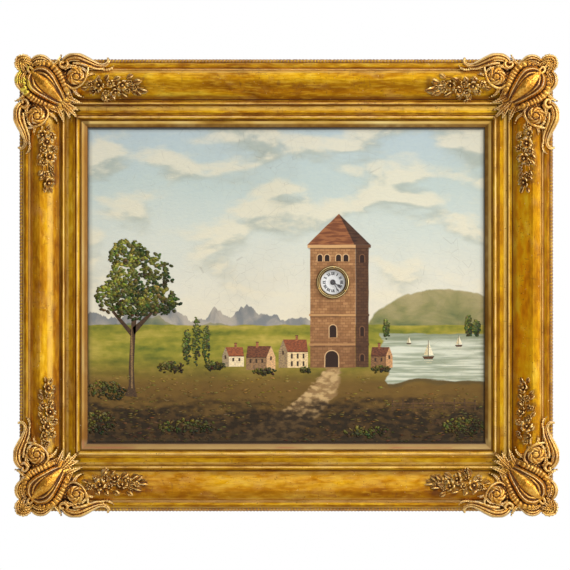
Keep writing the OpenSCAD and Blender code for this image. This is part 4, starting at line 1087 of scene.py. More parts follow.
UPRIGHT_LEAVES = ((132, 55, 12, 45), (146, 43, 12, -40), (157, 58, 12, 40), (172, 41, 12, -40),
                  (175, 57, 12, 35), (184, 43, 12, -45), (190, 53, 13, 40), (203, 43, 12, -40),
                  (205, 54, 12, 35), (214, 44, 11, -50), (234, 52, 12, 30), (235, 47, 11, -20),
                  (122, 46, 9, 190), (160, 50, 12, 0), (218, 53, 11, 50))
STEMS = ([(122, 48, 1.6), (148, 51, 1.6), (176, 51, 1.4), (204, 51, 1.1), (228, 52, 0.7)],
         [(150, 52, 1.2), (158, 62, 1.1), (160, 72, 0.7)],
         [(152, 50, 1.2), (172, 38, 1.1), (196, 31, 0.7)],
         [(184, 50, 1.1), (198, 44, 1.0), (212, 43, 0.6)])


def on_swelling(a, b, swap, mirror_x, mirror_z, lift=0.0):
    """A place on the swelling, in metres."""
    height = float(swelling_height(np.array(b))) + lift
    along, across = (b, a) if swap else (a, b)
    return Vector(to_frame(np.array(along), np.array(across), np.array(height), mirror_x, mirror_z))


def seated(a, b, size, degrees, place, lift, tilt):
    """Place, turn and size of a shape that lies on the swelling's slope, tilted a little."""
    here = on_swelling(a, b, *place)
    along = (on_swelling(a + 1, b, *place) - here).normalized()
    across = (on_swelling(a, b + 1, *place) - here).normalized()
    normal = along.cross(across)
    normal = -normal if normal.y > 0 else normal
    normal = (normal + along * tilt[0] + across * tilt[1]).normalized()
    angle = math.radians(degrees)
    ahead = along * math.cos(angle) + across * math.sin(angle)
    side = normal.cross(ahead).normalized()
    ahead = side.cross(normal)
    turn = Matrix((ahead, side, normal)).transposed().to_euler()
    return here + normal * lift * MM, turn, (size * MM,) * 3


# How much larger the shapes are set than written, and how high they lie, in millimetres
BLOSSOM_GROWN, BLOSSOM_LIFT = 1.22, 3.2
LEAF_GROWN, LEAF_LIFT = 1.2, (1.8, 3.2)
STEM_LIFT = 0.6
SPRAY_PLACES = [(swap, mirror_x, mirror_z) for swap in (False, True) for mirror_x in (False, True)
                for mirror_z in (False, True)]
blossom_spots, leaf_spots, stem_points, stem_edges, stem_sizes = [], [], [], [], []
chance = np.random.default_rng(11)
for place in SPRAY_PLACES:
    blossoms, leaves = (UPRIGHT_BLOSSOMS, UPRIGHT_LEAVES) if place[0] else (ACROSS_BLOSSOMS, ACROSS_LEAVES)
    for a, b, radius in blossoms:
        tilt = chance.uniform(-0.5, 0.5, 2)
        degrees = chance.uniform(0, 360 / PETALS)
        blossom_spots.append(seated(a, b, radius * BLOSSOM_GROWN, degrees, place, BLOSSOM_LIFT, tilt))
    for a, b, length, degrees in leaves:
        tilt = chance.uniform(-0.35, 0.35, 2)
        lift = chance.uniform(*LEAF_LIFT)
        leaf_spots.append(seated(a, b, length * LEAF_GROWN, degrees, place, lift, tilt))
    for stem in STEMS:
        path = smooth_path([(a, b, width, 0) for a, b, width in stem], 4)
        first = len(stem_points)
        stem_points += [on_swelling(a, b, *place, lift=STEM_LIFT) for a, b, width, _ in path]
        stem_sizes += [width * MM for a, b, width, _ in path]
        stem_edges += [(first + k, first + k + 1) for k in range(len(path) - 1)]

stems = GeometryRecipe("stems", Sides=("NodeSocketInt", 6), Material=MATERIAL)
stem_curve = stems.add("GeometryNodeMeshToCurve", sockets={"Mesh": stems.given})
width_given = stems.add("GeometryNodeInputNamedAttribute", {"data_type": "FLOAT"}, {"Name": "width"})
sized = stems.add("GeometryNodeSetCurveRadius", sockets={"Curve": stem_curve, "Radius": width_given})
profile_inputs = {"Resolution": stems.given.out("Sides"), "Radius": 1.0}
stem_profile = stems.add("GeometryNodeCurvePrimitiveCircle", sockets=profile_inputs)
tube_inputs = {"Curve": sized, "Profile Curve": stem_profile, "Scale": width_given, "Fill Caps": True}
stems.end(stems.add("GeometryNodeCurveToMesh", sockets=tube_inputs))

stem_lines = bpy.data.meshes.new("stem_lines")
stem_lines.from_pydata(stem_points, stem_edges, [])
give_values(stem_lines, "width", "FLOAT", stem_sizes)
spray_pieces = [
    scattered("spray_blossoms", blossom_shape(), blossom_spots, gilt_ornament),
    scattered("spray_leaves", leaf_shape(), leaf_spots, gilt_ornament),
    stems.run("spray_stems", stem_lines, Material=gilt_ornament),
]
for piece in spray_pieces:
    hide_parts("flower_sprays")
    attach(piece, "door")

# %% [markdown]
# The picture is a plain invented landscape: a lake under hills, meadows, and a square stone
# tower that carries the dial. Soft things such as sky, cloud and water are mixed in the shader,
# from the back to the front, as a painter lays them in. All measures are millimetres from the
# panel's middle, u to the right and v upwards, and a little noise makes every edge waver.


# %% Landscape on the canvas
HORIZON = -73.0
SKY_HEIGHT = 363


def path_middle(fall):
    """Where the path runs, by the share of its way down to the lower edge."""
    return DIAL_U - fall * fall * 120 - fall * 26


def within(u, v, left, right, low, high, soft=0.8):
    """1 inside a rectangle, with soft edges."""
    wide = (u - (left + right) / 2).size().above((right - left) / 2 + soft, (right - left) / 2 - soft)
    tall = (v - (low + high) / 2).size().above((high - low) / 2 + soft, (high - low) / 2 - soft)
    return wide * tall


def painted_sky(recipe, spot, v):
    rise = (v - HORIZON) / SKY_HEIGHT
    haze = recipe.noise(spot, 5, 3, (1, 1, 1.6))
    sky = recipe.ramp(
        rise + (haze - 0.5) * 0.25,
        (0.0, 228, 219, 196),
        (0.22, 221, 219, 204),
        (0.45, 203, 212, 205),
        (0.72, 184, 201, 200),
        (1.0, 174, 194, 204),
    )
    bank = recipe.noise(spot, 7.5, 8, (1, 1, 2.3), (2.3, 0, 1.4), 0.25)
    higher = recipe.noise(spot, 7.5, 8, (1, 1, 2.3), (2.29, 0, 1.45), 0.25)
    lit = ((bank - higher) * 7 + 0.55).above(0.0, 1.0)
    cloud = recipe.blend(lit, (158, 166, 156), (232, 222, 194))
    amount = (bank + rise * 0.10).above(0.51, 0.68) * rise.above(0.04, 0.22)
    return recipe.blend(amount * 0.62, sky, cloud)


def painted_hills(recipe, spot, u, v, below):
    """A far ridge, a nearer one at the left and a round hill at the right."""
    crest = recipe.noise(spot, 13, 6, (1, 0, 0), (0.35, 0, 0))
    folds = recipe.noise(spot, 30, 5, (1, 1, 0.5), (0.1, 0, 0), 0.8)
    far_top = (crest - 0.36) * 190 * u.above(250, -120) + HORIZON - 4
    far = recipe.blend(folds.above(0.36, 0.66), (124, 128, 132), (176, 168, 158))
    below = recipe.blend((far_top - v).above(-1.2, 1.2), below, far)
    near_crest = recipe.noise(spot, 9, 5, (1, 0, 0), (4.1, 0, 0))
    near_top = (near_crest - 0.42) * 130 * (u + 10).above(90, -240) + HORIZON - 10
    near = recipe.blend(folds.above(0.4, 0.6), (98, 110, 92), (142, 140, 112))
    below = recipe.blend((near_top - v).above(-1.0, 1.0), below, near)
    hump = ((u - 292) / 150).sum("POWER", 2.0) + ((v - HORIZON + 30) / 96).sum("POWER", 2.0)
    slopes = recipe.noise(spot, 16, 6, (1, 1, 1.7), (0.6, 0, 0.3), 0.5)
    round_hill = recipe.ramp(
        slopes * 0.75 + ((v - HORIZON) / 70) * 0.25,
        (0.30, 96, 108, 70),
        (0.46, 134, 132, 88),
        (0.60, 164, 152, 112),
        (0.75, 150, 150, 128),
    )
    return recipe.blend((hump + (folds - 0.5) * 0.2).above(1.03, 0.96), below, round_hill)


def painted_land(recipe, spot, u, v, below):
    """Meadows, the lake with its far bank, the path and the dark ground in front."""
    strips = recipe.noise(spot, 9, 5, (1, 1, 6), (0.2, 0, 0.6))
    tufts = recipe.noise(spot, 70, 5, (1, 1, 1.8))
    meadow = recipe.ramp(
        strips * 0.7 + tufts * 0.3,
        (0.34, 92, 104, 36),
        (0.50, 142, 138, 48),
        (0.66, 182, 162, 76),
    )
    deeper = recipe.blend(v.above(-116, -190) * 0.9, meadow, (100, 70, 32))
    below = recipe.blend((v - HORIZON + (strips - 0.5) * 8).above(1.0, -1.0), below, deeper)
    ripples = recipe.noise(spot, 26, 4, (0.5, 1, 9))
    water = recipe.blend(ripples.above(0.38, 0.64), (150, 160, 140), (214, 218, 200))
    mirrored = recipe.blend(v.above(-112, -92) * 0.75, water, (112, 124, 98))
    shore = recipe.noise(spot, 12, 5, (1, 1, 2), (0.9, 0, 0))
    left_bank = (u - 168 - (v + 92).size() * 0.35 + (shore - 0.5) * 70).above(-2, 2)
    far_bank = (v + 90 + (shore - 0.5) * 12).above(2.0, -1.0)
    lake = left_bank * far_bank * (v + 176 + (shore - 0.5) * 34).above(-2.0, 2.0)
    bank = left_bank * (v + 178 + (shore - 0.5) * 34).size().above(9, 2)
    below = recipe.blend(bank * 0.8, below, (84, 70, 40))
    below = recipe.blend(lake, below, mirrored)
    fall = (v + 150) * (-1 / 140)
    path_edge = (u - path_middle(fall) + (tufts - 0.5) * 26).size() - fall * 44 - 13
    gravel = recipe.blend(tufts.above(0.40, 0.62), (142, 112, 74), (196, 164, 116))
    on_path = path_edge.above(4, -4) * v.above(-146, -152)
    below = recipe.blend(on_path, below, gravel)
    shade = (v + 214 + (strips - 0.5) * 80 + (tufts - 0.5) * 44).above(16, -30)
    dark = recipe.blend(tufts.above(0.42, 0.62), (30, 22, 10), (66, 48, 24))
    return recipe.blend(shade * 0.95, below, dark)


def painted_tower(recipe, spot, u, v, below):
    """The tower's front, its shaded side, tiled roof and cornices."""
    low, top = -152.0, 70.0
    flat = recipe.add("ShaderNodeCombineXYZ", sockets={"X": u, "Y": v})
    grain = recipe.noise(spot, 60, 5)
    courses = {"Vector": flat, "Scale": 1.0, "Brick Width": 9.5, "Row Height": 5.2, "Mortar Size": 0.45}
    light_stones = {"Color1": tint(184, 136, 92), "Color2": tint(148, 104, 68), "Mortar": tint(132, 92, 60)}
    dark_stones = {"Color1": tint(92, 62, 42), "Color2": tint(74, 50, 36), "Mortar": tint(64, 44, 32)}
    sunny = recipe.add("ShaderNodeTexBrick", sockets=dict(courses, **light_stones))
    shaded = recipe.add("ShaderNodeTexBrick", sockets=dict(courses, **dark_stones))
    weathered = recipe.blend(grain.above(0.44, 0.66) * 0.6, sunny, (122, 84, 54))
    streaked = recipe.blend((v + 40).above(-10, -110) * 0.5, weathered, (96, 64, 42))
    below = recipe.blend(within(u, v, 44, 128, low, top), below, streaked)
    below = recipe.blend(within(u, v, 128, 152, low + 1, top), below, shaded)
    roof_edge = (v - 74) * (59 / 58)
    roof = (59 - roof_edge - (u - 97).size()).above(-0.8, 0.8) * v.above(73, 75)
    tiles = recipe.noise(spot, 40, 4, (1, 1, 5))
    roof_light = recipe.blend(tiles.above(0.4, 0.6), (112, 66, 44), (150, 96, 62))
    roof_dark = recipe.blend(tiles.above(0.4, 0.6), (56, 38, 32), (78, 54, 42))
    turned = (u - 97 - (132 - v) * 0.5).above(-1, 1)
    below = recipe.blend(roof, below, recipe.blend(turned, roof_light, roof_dark))
    for left, right, bottom, upper, near, away in (
        (39, 156, 69, 74.5, (204, 158, 110), (92, 62, 44)),
        (42, 153, -57, -53, (190, 144, 98), (84, 58, 40)),
        (42, 153, -111, -107, (176, 130, 88), (80, 54, 38)),
    ):
        ledge = within(u, v, left, right, bottom, upper, 0.6)
        shadow = within(u, v, left + 2, right - 2, bottom - 2.4, bottom - 0.4, 0.9)
        lit_ledge = recipe.blend(u.above(127.5, 128.5), near, away)
        below = recipe.layers(below, (ledge, lit_ledge), (shadow * 0.6, (58, 38, 26)))
    return below


# %% [markdown]
# Small openings are arches: a rectangle with a half circle on it. Each is laid twice, first a
# little larger as a pale stone frame, then as the dark opening itself.


# %% Openings and the finished canvas
# Arches as [middle, foot, half width, height of the straight part]
TOWER_ARCHES = ((62, 44, 4.5, 8), (75.5, 44, 4.5, 8), (110, 44, 4.5, 8), (96.5, 44, 4.5, 8),
                (140, 42, 4, 10), (86, -96, 6.5, 16), (140, -94, 3.5, 14), (84, -151, 12, 18),
                (140, -140, 3.5, 9))


def arch(u, v, middle, foot, half, straight):
    arched = (v - foot - straight).most(0.0)
    rounded = (u - middle).size().from_middle(arched).above(half + 0.5, half - 0.5)
    return rounded * v.above(foot - 0.4, foot + 0.4)


# Half the panel's width and height, how far before the frame's back its painted side begins,
# and the pitch of the canvas's threads, in millimetres
PANEL_HALF_U, PANEL_HALF_V = 364, 289
PAINT_FROM = 13.8
THREAD = 0.9


def canvas_paint():
    recipe, spot, x, y, z = new_recipe("oil_on_canvas")
    up = z - MID_Z
    waver = recipe.noise(spot, 45, 3) - 0.5
    ripple = recipe.noise(spot, 45, 3, shift=(0.7, 0, 0.2)) - 0.5
    u, v = x + waver * 5, up + ripple * 5
    colour = painted_sky(recipe, spot, v)
    colour = painted_hills(recipe, spot, u, v, colour)
    colour = painted_land(recipe, spot, u, v, colour)
    u, v = x + waver * 1.6, up + ripple * 1.6
    colour = painted_tower(recipe, spot, u, v, colour)
    for middle, foot, half, straight in TOWER_ARCHES:
        pale = (226, 186, 140) if middle < 128 else (120, 84, 58)
        surround = arch(u, v, middle, foot, half + 1.6, straight) * 0.85
        opening = arch(u, v, middle, foot, half, straight)
        colour = recipe.layers(colour, (surround, pale), (opening, (46, 30, 24)))
    strokes = recipe.noise(spot, 120, 5, (1, 1, 2.2), warp=0.4)
    age = recipe.noise(spot, 4, 5, warp=0.5)
    colour = recipe.blend((strokes - 0.5) * 0.5 + 0.25, colour, (236, 224, 190), "SOFT_LIGHT")
    colour = recipe.blend(age.above(0.45, 0.75) * 0.12, colour, (170, 140, 84), "MULTIPLY")
    crack = recipe.cells(spot, 52.0).above(0.012, 0.003) * age.above(0.42, 0.55)
    # Painted shade of the frame along the canvas's edges, and a darker painted shadow line, strongest at the
    # top and bottom
    top_rim = PANEL_HALF_V - up.size()
    rim = (PANEL_HALF_U - x.size()).least(top_rim)
    painted_edge_shadow = top_rim.above(3.4, 1.4).most(rim.above(1.6, 0.6) * 0.6)
    colour = recipe.layers(
        colour,
        (crack * 0.22, (96, 80, 52)),
        (rim.above(9, 0) * 0.35, (88, 72, 44)),
        (painted_edge_shadow * 0.75, (42, 32, 18)),
    )
    front = (BACK_Y - y).above(PAINT_FROM - 0.1, PAINT_FROM + 0.1)
    bare = recipe.blend(strokes.above(0.3, 0.7), (150, 120, 82), (182, 152, 110))
    across, upright = [((part * (2 * math.pi / THREAD)).sum("SINE") + 1) * 0.5 for part in (x, z)]
    tooth = strokes * 1.4 + across * upright * 0.35 - crack * 0.6
    return recipe.finish(
        Base_Color=recipe.blend(front, bare, colour),
        Roughness=0.5 + strokes * 0.2,
        Specular_IOR_Level=0.25,
        Normal=recipe.bump(tooth, 0.0003),
    )


dress(canvas_paint(), "picture_panel")
print("canvas painted")

# %% [markdown]
# Crisp things, such as houses, sails and leaves, are thick paint: thin patches that stand a few
# tenths of a millimetre off the canvas, as real brush marks do. A patch is a flat outline with
# a front, a back and walls, and it carries its own colour.

# %% Patches of thick paint
patch_points, patch_faces, patch_colours = [], [], []


def prism_faces(first, count):
    """Front, back and walls of an outline laid twice; first is the number of its first point."""
    front = tuple(range(first, first + count))
    back = tuple(range(first + 2 * count - 1, first + count - 1, -1))
    walls = []
    for here in range(first, first + count):
        after = first + (here + 1 - first) % count
        walls.append((here, count + here, count + after, after))
    return [front, back, *walls]


def patch(colour, outline, level=1):
    """A patch over the outline, [u, v] points against the clock; a higher level lies on top."""
    count = len(outline)
    patch_faces.extend(prism_faces(len(patch_points), count))
    for depth in (-0.10 - 0.10 * level, 0.10):
        patch_points.extend((u * MM, PANEL_FRONT_Y + depth * MM, FRAME_MID_Z + v * MM) for u, v in outline)
        patch_colours.extend([tint(*colour)] * count)


def box(left, right, low, high):
    """The corners of an upright rectangle, against the clock."""
    return [(left, low), (right, low), (right, high), (left, high)]


def block(colour, left, right, low, high, level=1):
    """A patch over an upright rectangle."""
    patch(colour, box(left, right, low, high), level)


def cottage(left, right, low, eaves, ridge, wall, roof, gable_left, windows):
    """A house seen at a slant: a gable end, a long front, a roof, windows and a chimney."""
    gable = (right - left) * 0.3
    dark_wall = tuple(int(c * 0.62) for c in wall)
    dark_roof = tuple(int(c * 0.7) for c in roof)
    edge = left + gable if gable_left else right - gable
    outer = left if gable_left else right
    peak = (edge + outer) / 2
    long_end = right if gable_left else left
    front = sorted((edge, long_end))
    gable_outline = [(outer, low), (edge, low), (edge, eaves), (peak, ridge), (outer, eaves)]
    ridge_end = long_end - (peak - outer) * 0.35
    roof_outline = [(edge, eaves), (long_end, eaves), (ridge_end, ridge), (peak, ridge)]
    if not gable_left:
        gable_outline.reverse()
        roof_outline.reverse()
    block(wall if gable_left else dark_wall, *front, low, eaves)
    patch(dark_wall if gable_left else wall, gable_outline)
    patch(roof, roof_outline, 2)
    block(dark_roof, *front, eaves - 1.4, eaves + 0.2, 3)
    span = (long_end - edge) / (windows + 0.5)
    for k in range(windows):
        middle = edge + span * (k + 0.75)
        height = (eaves - low) * 0.3
        block((58, 44, 36), middle - 1.7, middle + 1.7, eaves - 4 - height, eaves - 4, 2)
        if eaves - low > 24:
            block((52, 40, 34), middle - 1.7, middle + 1.7, low + 3, low + 3 + height, 2)
    block((62, 44, 34), peak - 1.6, peak + 1.6, eaves - 6, eaves + 1, 2)
    stack = peak + (long_end - peak) * 0.55
    block((142, 88, 62), stack - 2.2, stack + 2.2, ridge - 3, ridge + 7, 3)
    block((82, 50, 40), stack - 2.8, stack + 2.8, ridge + 6.4, ridge + 8, 4)


# Hull, two sails, mast and the light on the water as [colour, outline, level], one unit in size
BOAT = (
    ((78, 54, 38), [(-9, 2.4), (-6, -1.6), (6, -1.6), (9, 2.6)], 1),
    ((236, 226, 196), [(0.6, 3.4), (8, 4), (0.6, 24)], 1),
    ((206, 190, 152), [(-0.8, 4), (-0.8, 21), (-6.5, 4.4)], 1),
    ((84, 62, 44), box(-0.5, 0.3, 2, 26), 2),
    ((190, 188, 164), box(-6, 7, -4.2, -3.0), 1),
    ((176, 174, 150), box(-3, 5, -7.4, -6.4), 1),
)


def sail_boat(u, v, size):
    """A small boat with two sails, and its light on the water."""
    for colour, outline, level in BOAT:
        patch(colour, [(u + a * size, v + b * size) for a, b in outline], level)


cottage(-14, 40, -152, -122, -100, (222, 190, 146), (124, 70, 48), gable_left=True, windows=3)
cottage(-74, -20, -156, -132, -112, (204, 160, 118), (98, 60, 44), gable_left=False, windows=3)
cottage(-118, -78, -150, -130, -114, (228, 204, 166), (136, 78, 52), gable_left=True, windows=2)
cottage(156, 196, -152, -130, -114, (186, 138, 98), (92, 56, 42), gable_left=False, windows=2)
sail_boat(262, -134, 1.25)
sail_boat(318, -112, 0.8)
sail_boat(226, -108, 0.55)

# A fence by the lake, and the large tree's trunk with its light and two boughs
for post in range(9):
    place_u = 196 + post * 19
    block((70, 52, 34), place_u - 1.3, place_u + 1.3, -232 + (post % 3), -211 + (post % 2) * 2, 3)
patch((84, 62, 40), [(194, -219.5), (350, -217.5), (350, -215.3), (194, -217.0)], 4)
patch((74, 54, 34), [(194, -226.5), (350, -225.0), (350, -223.2), (194, -224.2)], 4)
patch((66, 50, 36), [(-292, -205), (-274, -206), (-279, -190), (-281, -150), (-279, -110), (-276, -60),
                     (-285, -60), (-288, -110), (-290, -150), (-290, -185), (-298, -203)], 2)
patch((120, 96, 66), [(-286, -190), (-283, -190), (-283, -110), (-285, -70), (-287, -110)], 3)
patch((62, 46, 32), [(-281, -92), (-246, -52), (-250, -49), (-283, -78)], 2)
patch((62, 46, 32), [(-285, -96), (-284, -84), (-318, -46), (-322, -49)], 2)


def paint_material():
    recipe, spot, *_ = new_recipe("thick_paint")
    own = recipe.add("ShaderNodeAttribute", {"attribute_name": "paint"}, out="Color")
    strokes = recipe.noise(spot, 260, 4, (1, 1, 2))
    worn = recipe.blend(strokes.above(0.35, 0.7), own, (255, 240, 208), "SOFT_LIGHT")
    return recipe.finish(
        Base_Color=recipe.blend(strokes.above(0.55, 0.3) * 0.22, worn, (52, 40, 28)),
        Roughness=0.5 + strokes * 0.15,
        Specular_IOR_Level=0.25,
        Normal=recipe.bump(strokes, 0.0003),
    )


thick_paint = paint_material()
patches = mesh_object("painted_patches", patch_points, patch_faces, thick_paint, smooth=False)
give_values(patches.data, "paint", "FLOAT_COLOR", patch_colours)
print("patches:", len(patch_faces), "faces")

# %% [markdown]
# Foliage and grass are dabs of a small brush. A dab is a lens of a dozen faces, and the
# scattering tree sets down a few thousand of them, darker below and lighter where the painted
# sun falls, from the upper left.

# %% Dabs of foliage and grass
def dab_shape():
    ring = [(math.cos(k * math.pi / 3), 0.0, 0.62 * math.sin(k * math.pi / 3)) for k in range(6)]
    vertices = ring + [(0.1, -1.0, 0.0), (0.0, 0.5, 0.0)]
    faces = [(k, (k + 1) % 6, 6) for k in range(6)] + [((k + 1) % 6, k, 7) for k in range(6)]
    return mesh_object("dab", vertices, faces, thick_paint)


DAB_THICK = 0.22
brush = np.random.default_rng(23)
dab_spots, dab_colours = [], []


def dab(u, v, size, colour, level, turn=None, flat=1.0):
    angle = brush.uniform(-0.9, 0.9) if turn is None else turn
    dab_spots.append(((u * MM, PANEL_FRONT_Y - level * MM, FRAME_MID_Z + v * MM), (0.0, angle, 0.0),
                      (size * MM, DAB_THICK * MM, size * flat * MM)))
    dab_colours.append(tint(*np.clip(np.array(colour) + brush.normal(0, 7, 3), 0, 255)))


def foliage(u, v, wide, tall, count, dark, light, size):
    """A leafy mass: lit at its upper left, dark below, with a broken edge."""
    for k in range(count):
        depth = k / count
        angle, out = brush.uniform(0, 2 * math.pi), math.sqrt(brush.uniform(0, 1)) * (1.04 - 0.25 * depth)
        du, dv = math.cos(angle) * out, math.sin(angle) * out
        clump = 0.5 + 0.5 * math.sin(du * 7.0 + 1.7 * math.sin(dv * 5.0 + u)) * math.cos(dv * 6.0 + v)
        lit = 0.42 - 0.32 * du + 0.42 * dv + 0.4 * (clump - 0.5) + brush.normal(0, 0.10)
        shine = min(max(lit, 0), 1) * (0.35 + 0.65 * depth)
        colour = np.array(dark) * (1 - shine) + np.array(light) * shine
        at_u, at_v = u + du * wide - 3 * depth, v + dv * tall + 4 * depth
        dab(at_u, at_v, size * brush.uniform(0.7, 1.25), colour, 0.3 + 0.5 * depth)


# Leafy masses as [u, v, half width, half height, dabs], the large tree's with their light colour
BOUGHS = (
    (-268, 16, 62, 46, 420, (168, 168, 74)), (-306, -22, 46, 36, 300, (150, 152, 66)),
    (-236, -30, 40, 30, 240, (176, 164, 72)), (-290, 56, 38, 28, 200, (168, 168, 74)),
    (-278, -44, 34, 20, 170, (142, 146, 62)),
)
SLIM_TREES = (
    (-164, -104, 8, 46, 130), (-146, -112, 7, 36, 130), (-182, -114, 7, 32, 130),
    (186, -82, 5, 18, 130), (338, -76, 7, 20, 130), (352, -80, 6, 15, 130),
)
BUSHES = (
    (-130, -150, 20, 8, 70), (-40, -160, 22, 6, 60), (176, -156, 18, 6, 60), (-210, -152, 26, 10, 90),
    (-330, -196, 40, 18, 150), (-180, -262, 60, 14, 150), (330, -262, 44, 18, 160),
    (150, -272, 50, 10, 110), (36, -158, 10, 5, 30), (-345, -255, 34, 24, 140),
)
for *mass, light in BOUGHS:
    foliage(*mass, (44, 54, 28), light, 4.2)
for mass in SLIM_TREES:
    foliage(*mass, (48, 60, 36), (132, 142, 70), 2.6)
for mass in BUSHES:
    foliage(*mass, (40, 40, 22), (128, 122, 58), 3.2)

# Grass grows from the lower edge up to the houses, thinner farther off, not on path or lake
TUFTS, GRASS_LOW, GRASS_TALL = 900, -288, 122
NEAR_GRASS, FAR_GRASS = np.array((56, 42, 20)), np.array((124, 106, 44))
for _ in range(TUFTS):
    tuft_u = brush.uniform(-362, 362)
    tuft_v = GRASS_LOW + GRASS_TALL * brush.uniform(0, 1) ** 1.25
    on_path = abs(tuft_u - path_middle((-150 - tuft_v) / 140)) < 50
    in_lake = tuft_u > 150 and tuft_v > -186
    if on_path or in_lake:
        continue
    nearness = (GRASS_LOW + GRASS_TALL - tuft_v) / GRASS_TALL
    warm = brush.uniform(0, 1)
    colour = FAR_GRASS * (1 - nearness) + NEAR_GRASS * nearness + warm * 22
    dab(tuft_u, tuft_v, brush.uniform(2.5, 5.5), colour, 0.15, turn=brush.uniform(-0.2, 0.2), flat=0.35)

dabs = scattered("painted_dabs", dab_shape(), dab_spots, thick_paint, paint=dab_colours)
for piece in (patches, dabs):
    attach(piece, "door")

# %% [markdown]
# The dial is white enamel fired on copper. Its hours are Roman, set round the centre with their
# feet inwards, as thin raised black enamel. A numeral is written as thick and thin bars, so the
# letters need no font.


# %% Dial numerals
# The radius of the numerals' middles and half their height, in millimetres, their greatest width
# in parts of their height, and how far they stand out of the enamel and are sunk in it
NUMERAL_MIDDLE = 15.9
NUMERAL_HALF = 2.6
WIDEST_NUMERAL = 1.26
PROUD = 0.12 * MM
SUNK = 0.1 * MM
NUMERALS = ("XII", "I", "II", "III", "IIII", "V", "VI", "VII", "VIII", "IX", "X", "XI")
# A letter's bars as [foot, head, width], and its own width, in parts of the numeral's height
LETTERS = {
    "I": ([(0, 0, 0.32)], 0.42),
    "V": ([(0.0, -0.26, 0.36), (0.03, 0.25, 0.18)], 0.74),
    "X": ([(-0.26, 0.26, 0.18), (0.26, -0.26, 0.34)], 0.78),
}


def numeral_bars(hour):
    """Bars of one numeral as four corners each, upright and round the origin."""
    text = NUMERALS[hour]
    widths = [LETTERS[letter][1] for letter in text]
    squeeze = min(1.0, WIDEST_NUMERAL / sum(widths))
    at = -sum(widths) * squeeze / 2
    bars = []
    for letter, width in zip(text, widths):
        middle = at + width * squeeze / 2
        for foot, head, thick in LETTERS[letter][0]:
            f, h, t = middle + foot * squeeze, middle + head * squeeze, thick * squeeze / 2
            bars.append([(f - t, -0.5), (f + t, -0.5), (h + t, 0.5), (h - t, 0.5)])
        for edge in (-0.5, 0.46):
            reach = width * squeeze * 0.44
            bars.append(box(middle - reach, middle + reach, edge, edge + 0.05))
        at += width * squeeze
    return bars


def raised(bars, base_y, material, name):
    """Closed flat bars standing proud of a surface that faces the viewer; bars in metres."""
    vertices, faces = [], []
    for bar in bars:
        faces += prism_faces(len(vertices), len(bar))
        for y in (base_y - PROUD, base_y + SUNK):
            vertices += [(x, y, z) for x, z in bar]
    return mesh_object(name, vertices, faces, material, smooth=False)


recipe, spot, *_ = new_recipe("black_enamel")
fired = recipe.noise(spot, 900, 3)
black_enamel = recipe.finish(
    Base_Color=recipe.blend(fired, (18, 20, 26), (46, 48, 58)),
    Roughness=0.25 + fired * 0.1,
)

dial_bars = []
size_up = 2 * NUMERAL_HALF
for hour in range(12):
    angle = math.radians(30 * hour)
    outward = (math.sin(angle), math.cos(angle))
    sideways = (math.cos(angle), -math.sin(angle))
    for bar in numeral_bars(hour):
        corner_list = []
        for across, up in bar:
            out = NUMERAL_MIDDLE + up * size_up
            side = across * size_up
            corner_list.append((DIAL_X + (outward[0] * out + sideways[0] * side) * MM,
                                DIAL_Z + (outward[1] * out + sideways[1] * side) * MM))
        dial_bars.append(corner_list)
numerals = raised(dial_bars, DIAL_FRONT_Y, black_enamel, "dial_numerals")
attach(numerals, "case")
print("dial:", len(dial_bars), "bars")

# %% [markdown]
# The metals differ in how they are finished. Brass is turned and lacquered, and goes brown
# where two rings meet; on the bezel these lines are also painted shade at its steps, beside
# painted highlight lines on its rings. Steel is filed and oiled; hands are blued in a flame; iron
# is forged and rusts. Each is a metallic shader whose roughness and tint wander with noise.


# %% Metals
def metal(name, low, high, rough, patch_scale=60, shine=1.0, stain=None, stain_from=0.62, lathe=False,
          arbor=None):
    """A metal from its dark to its light tint, with stains, turned rings with painted shade and highlight
    lines, or a steel arbor in it.
    """
    recipe, spot, x, y, z = new_recipe(name)
    cloud = recipe.noise(spot, patch_scale, 5)
    scratch = recipe.noise(spot, 700, 3, (1, 1, 0.12))
    colour = recipe.blend(cloud.above(0.30, 0.70), low, high)
    gone = 0.0
    if stain:
        spots = recipe.noise(spot, patch_scale * 2.2, 6, shift=(0.3, 0.8, 0.1))
        gone = spots.above(stain_from, stain_from + 0.12)
        colour = recipe.blend(gone * 0.75, colour, stain)
    if lathe:
        out = (x - DIAL_U).from_middle(z - DIAL_UP)
        # Brown where rings meet and painted shade at the bezel's steps, and painted highlight lines on its
        # rings
        ring = lines_at(out, ((24.0, 1.1, 1.0), (27.4, 0.8, 1.0), (30.6, 0.9, 1.0)))
        bright = lines_at(out, ((25.6, 0.5, 1.0), (28.7, 0.6, 1.0)))
        colour = recipe.layers(colour, (ring * 0.95, (44, 28, 10)), (bright * 0.85, (252, 234, 176)))
        gone = gone + ring * 0.6
    if arbor:
        out = (x - DIAL_U).from_middle(z - DIAL_UP)
        shaft = out.above(arbor + 0.2, arbor)
        dark_tip = shaft * y.above(-80, -86)
        colour = recipe.layers(colour, (shaft, (142, 140, 140)), (dark_tip, (40, 30, 32)))
        gone = gone + dark_tip
    return recipe.finish(
        Base_Color=colour,
        Metallic=shine - gone * 0.5,
        Roughness=cloud * 0.2 + rough - 0.1 + gone * 0.25,
        Normal=recipe.bump(scratch * 0.4 + cloud * 0.6, 0.0002),
    )


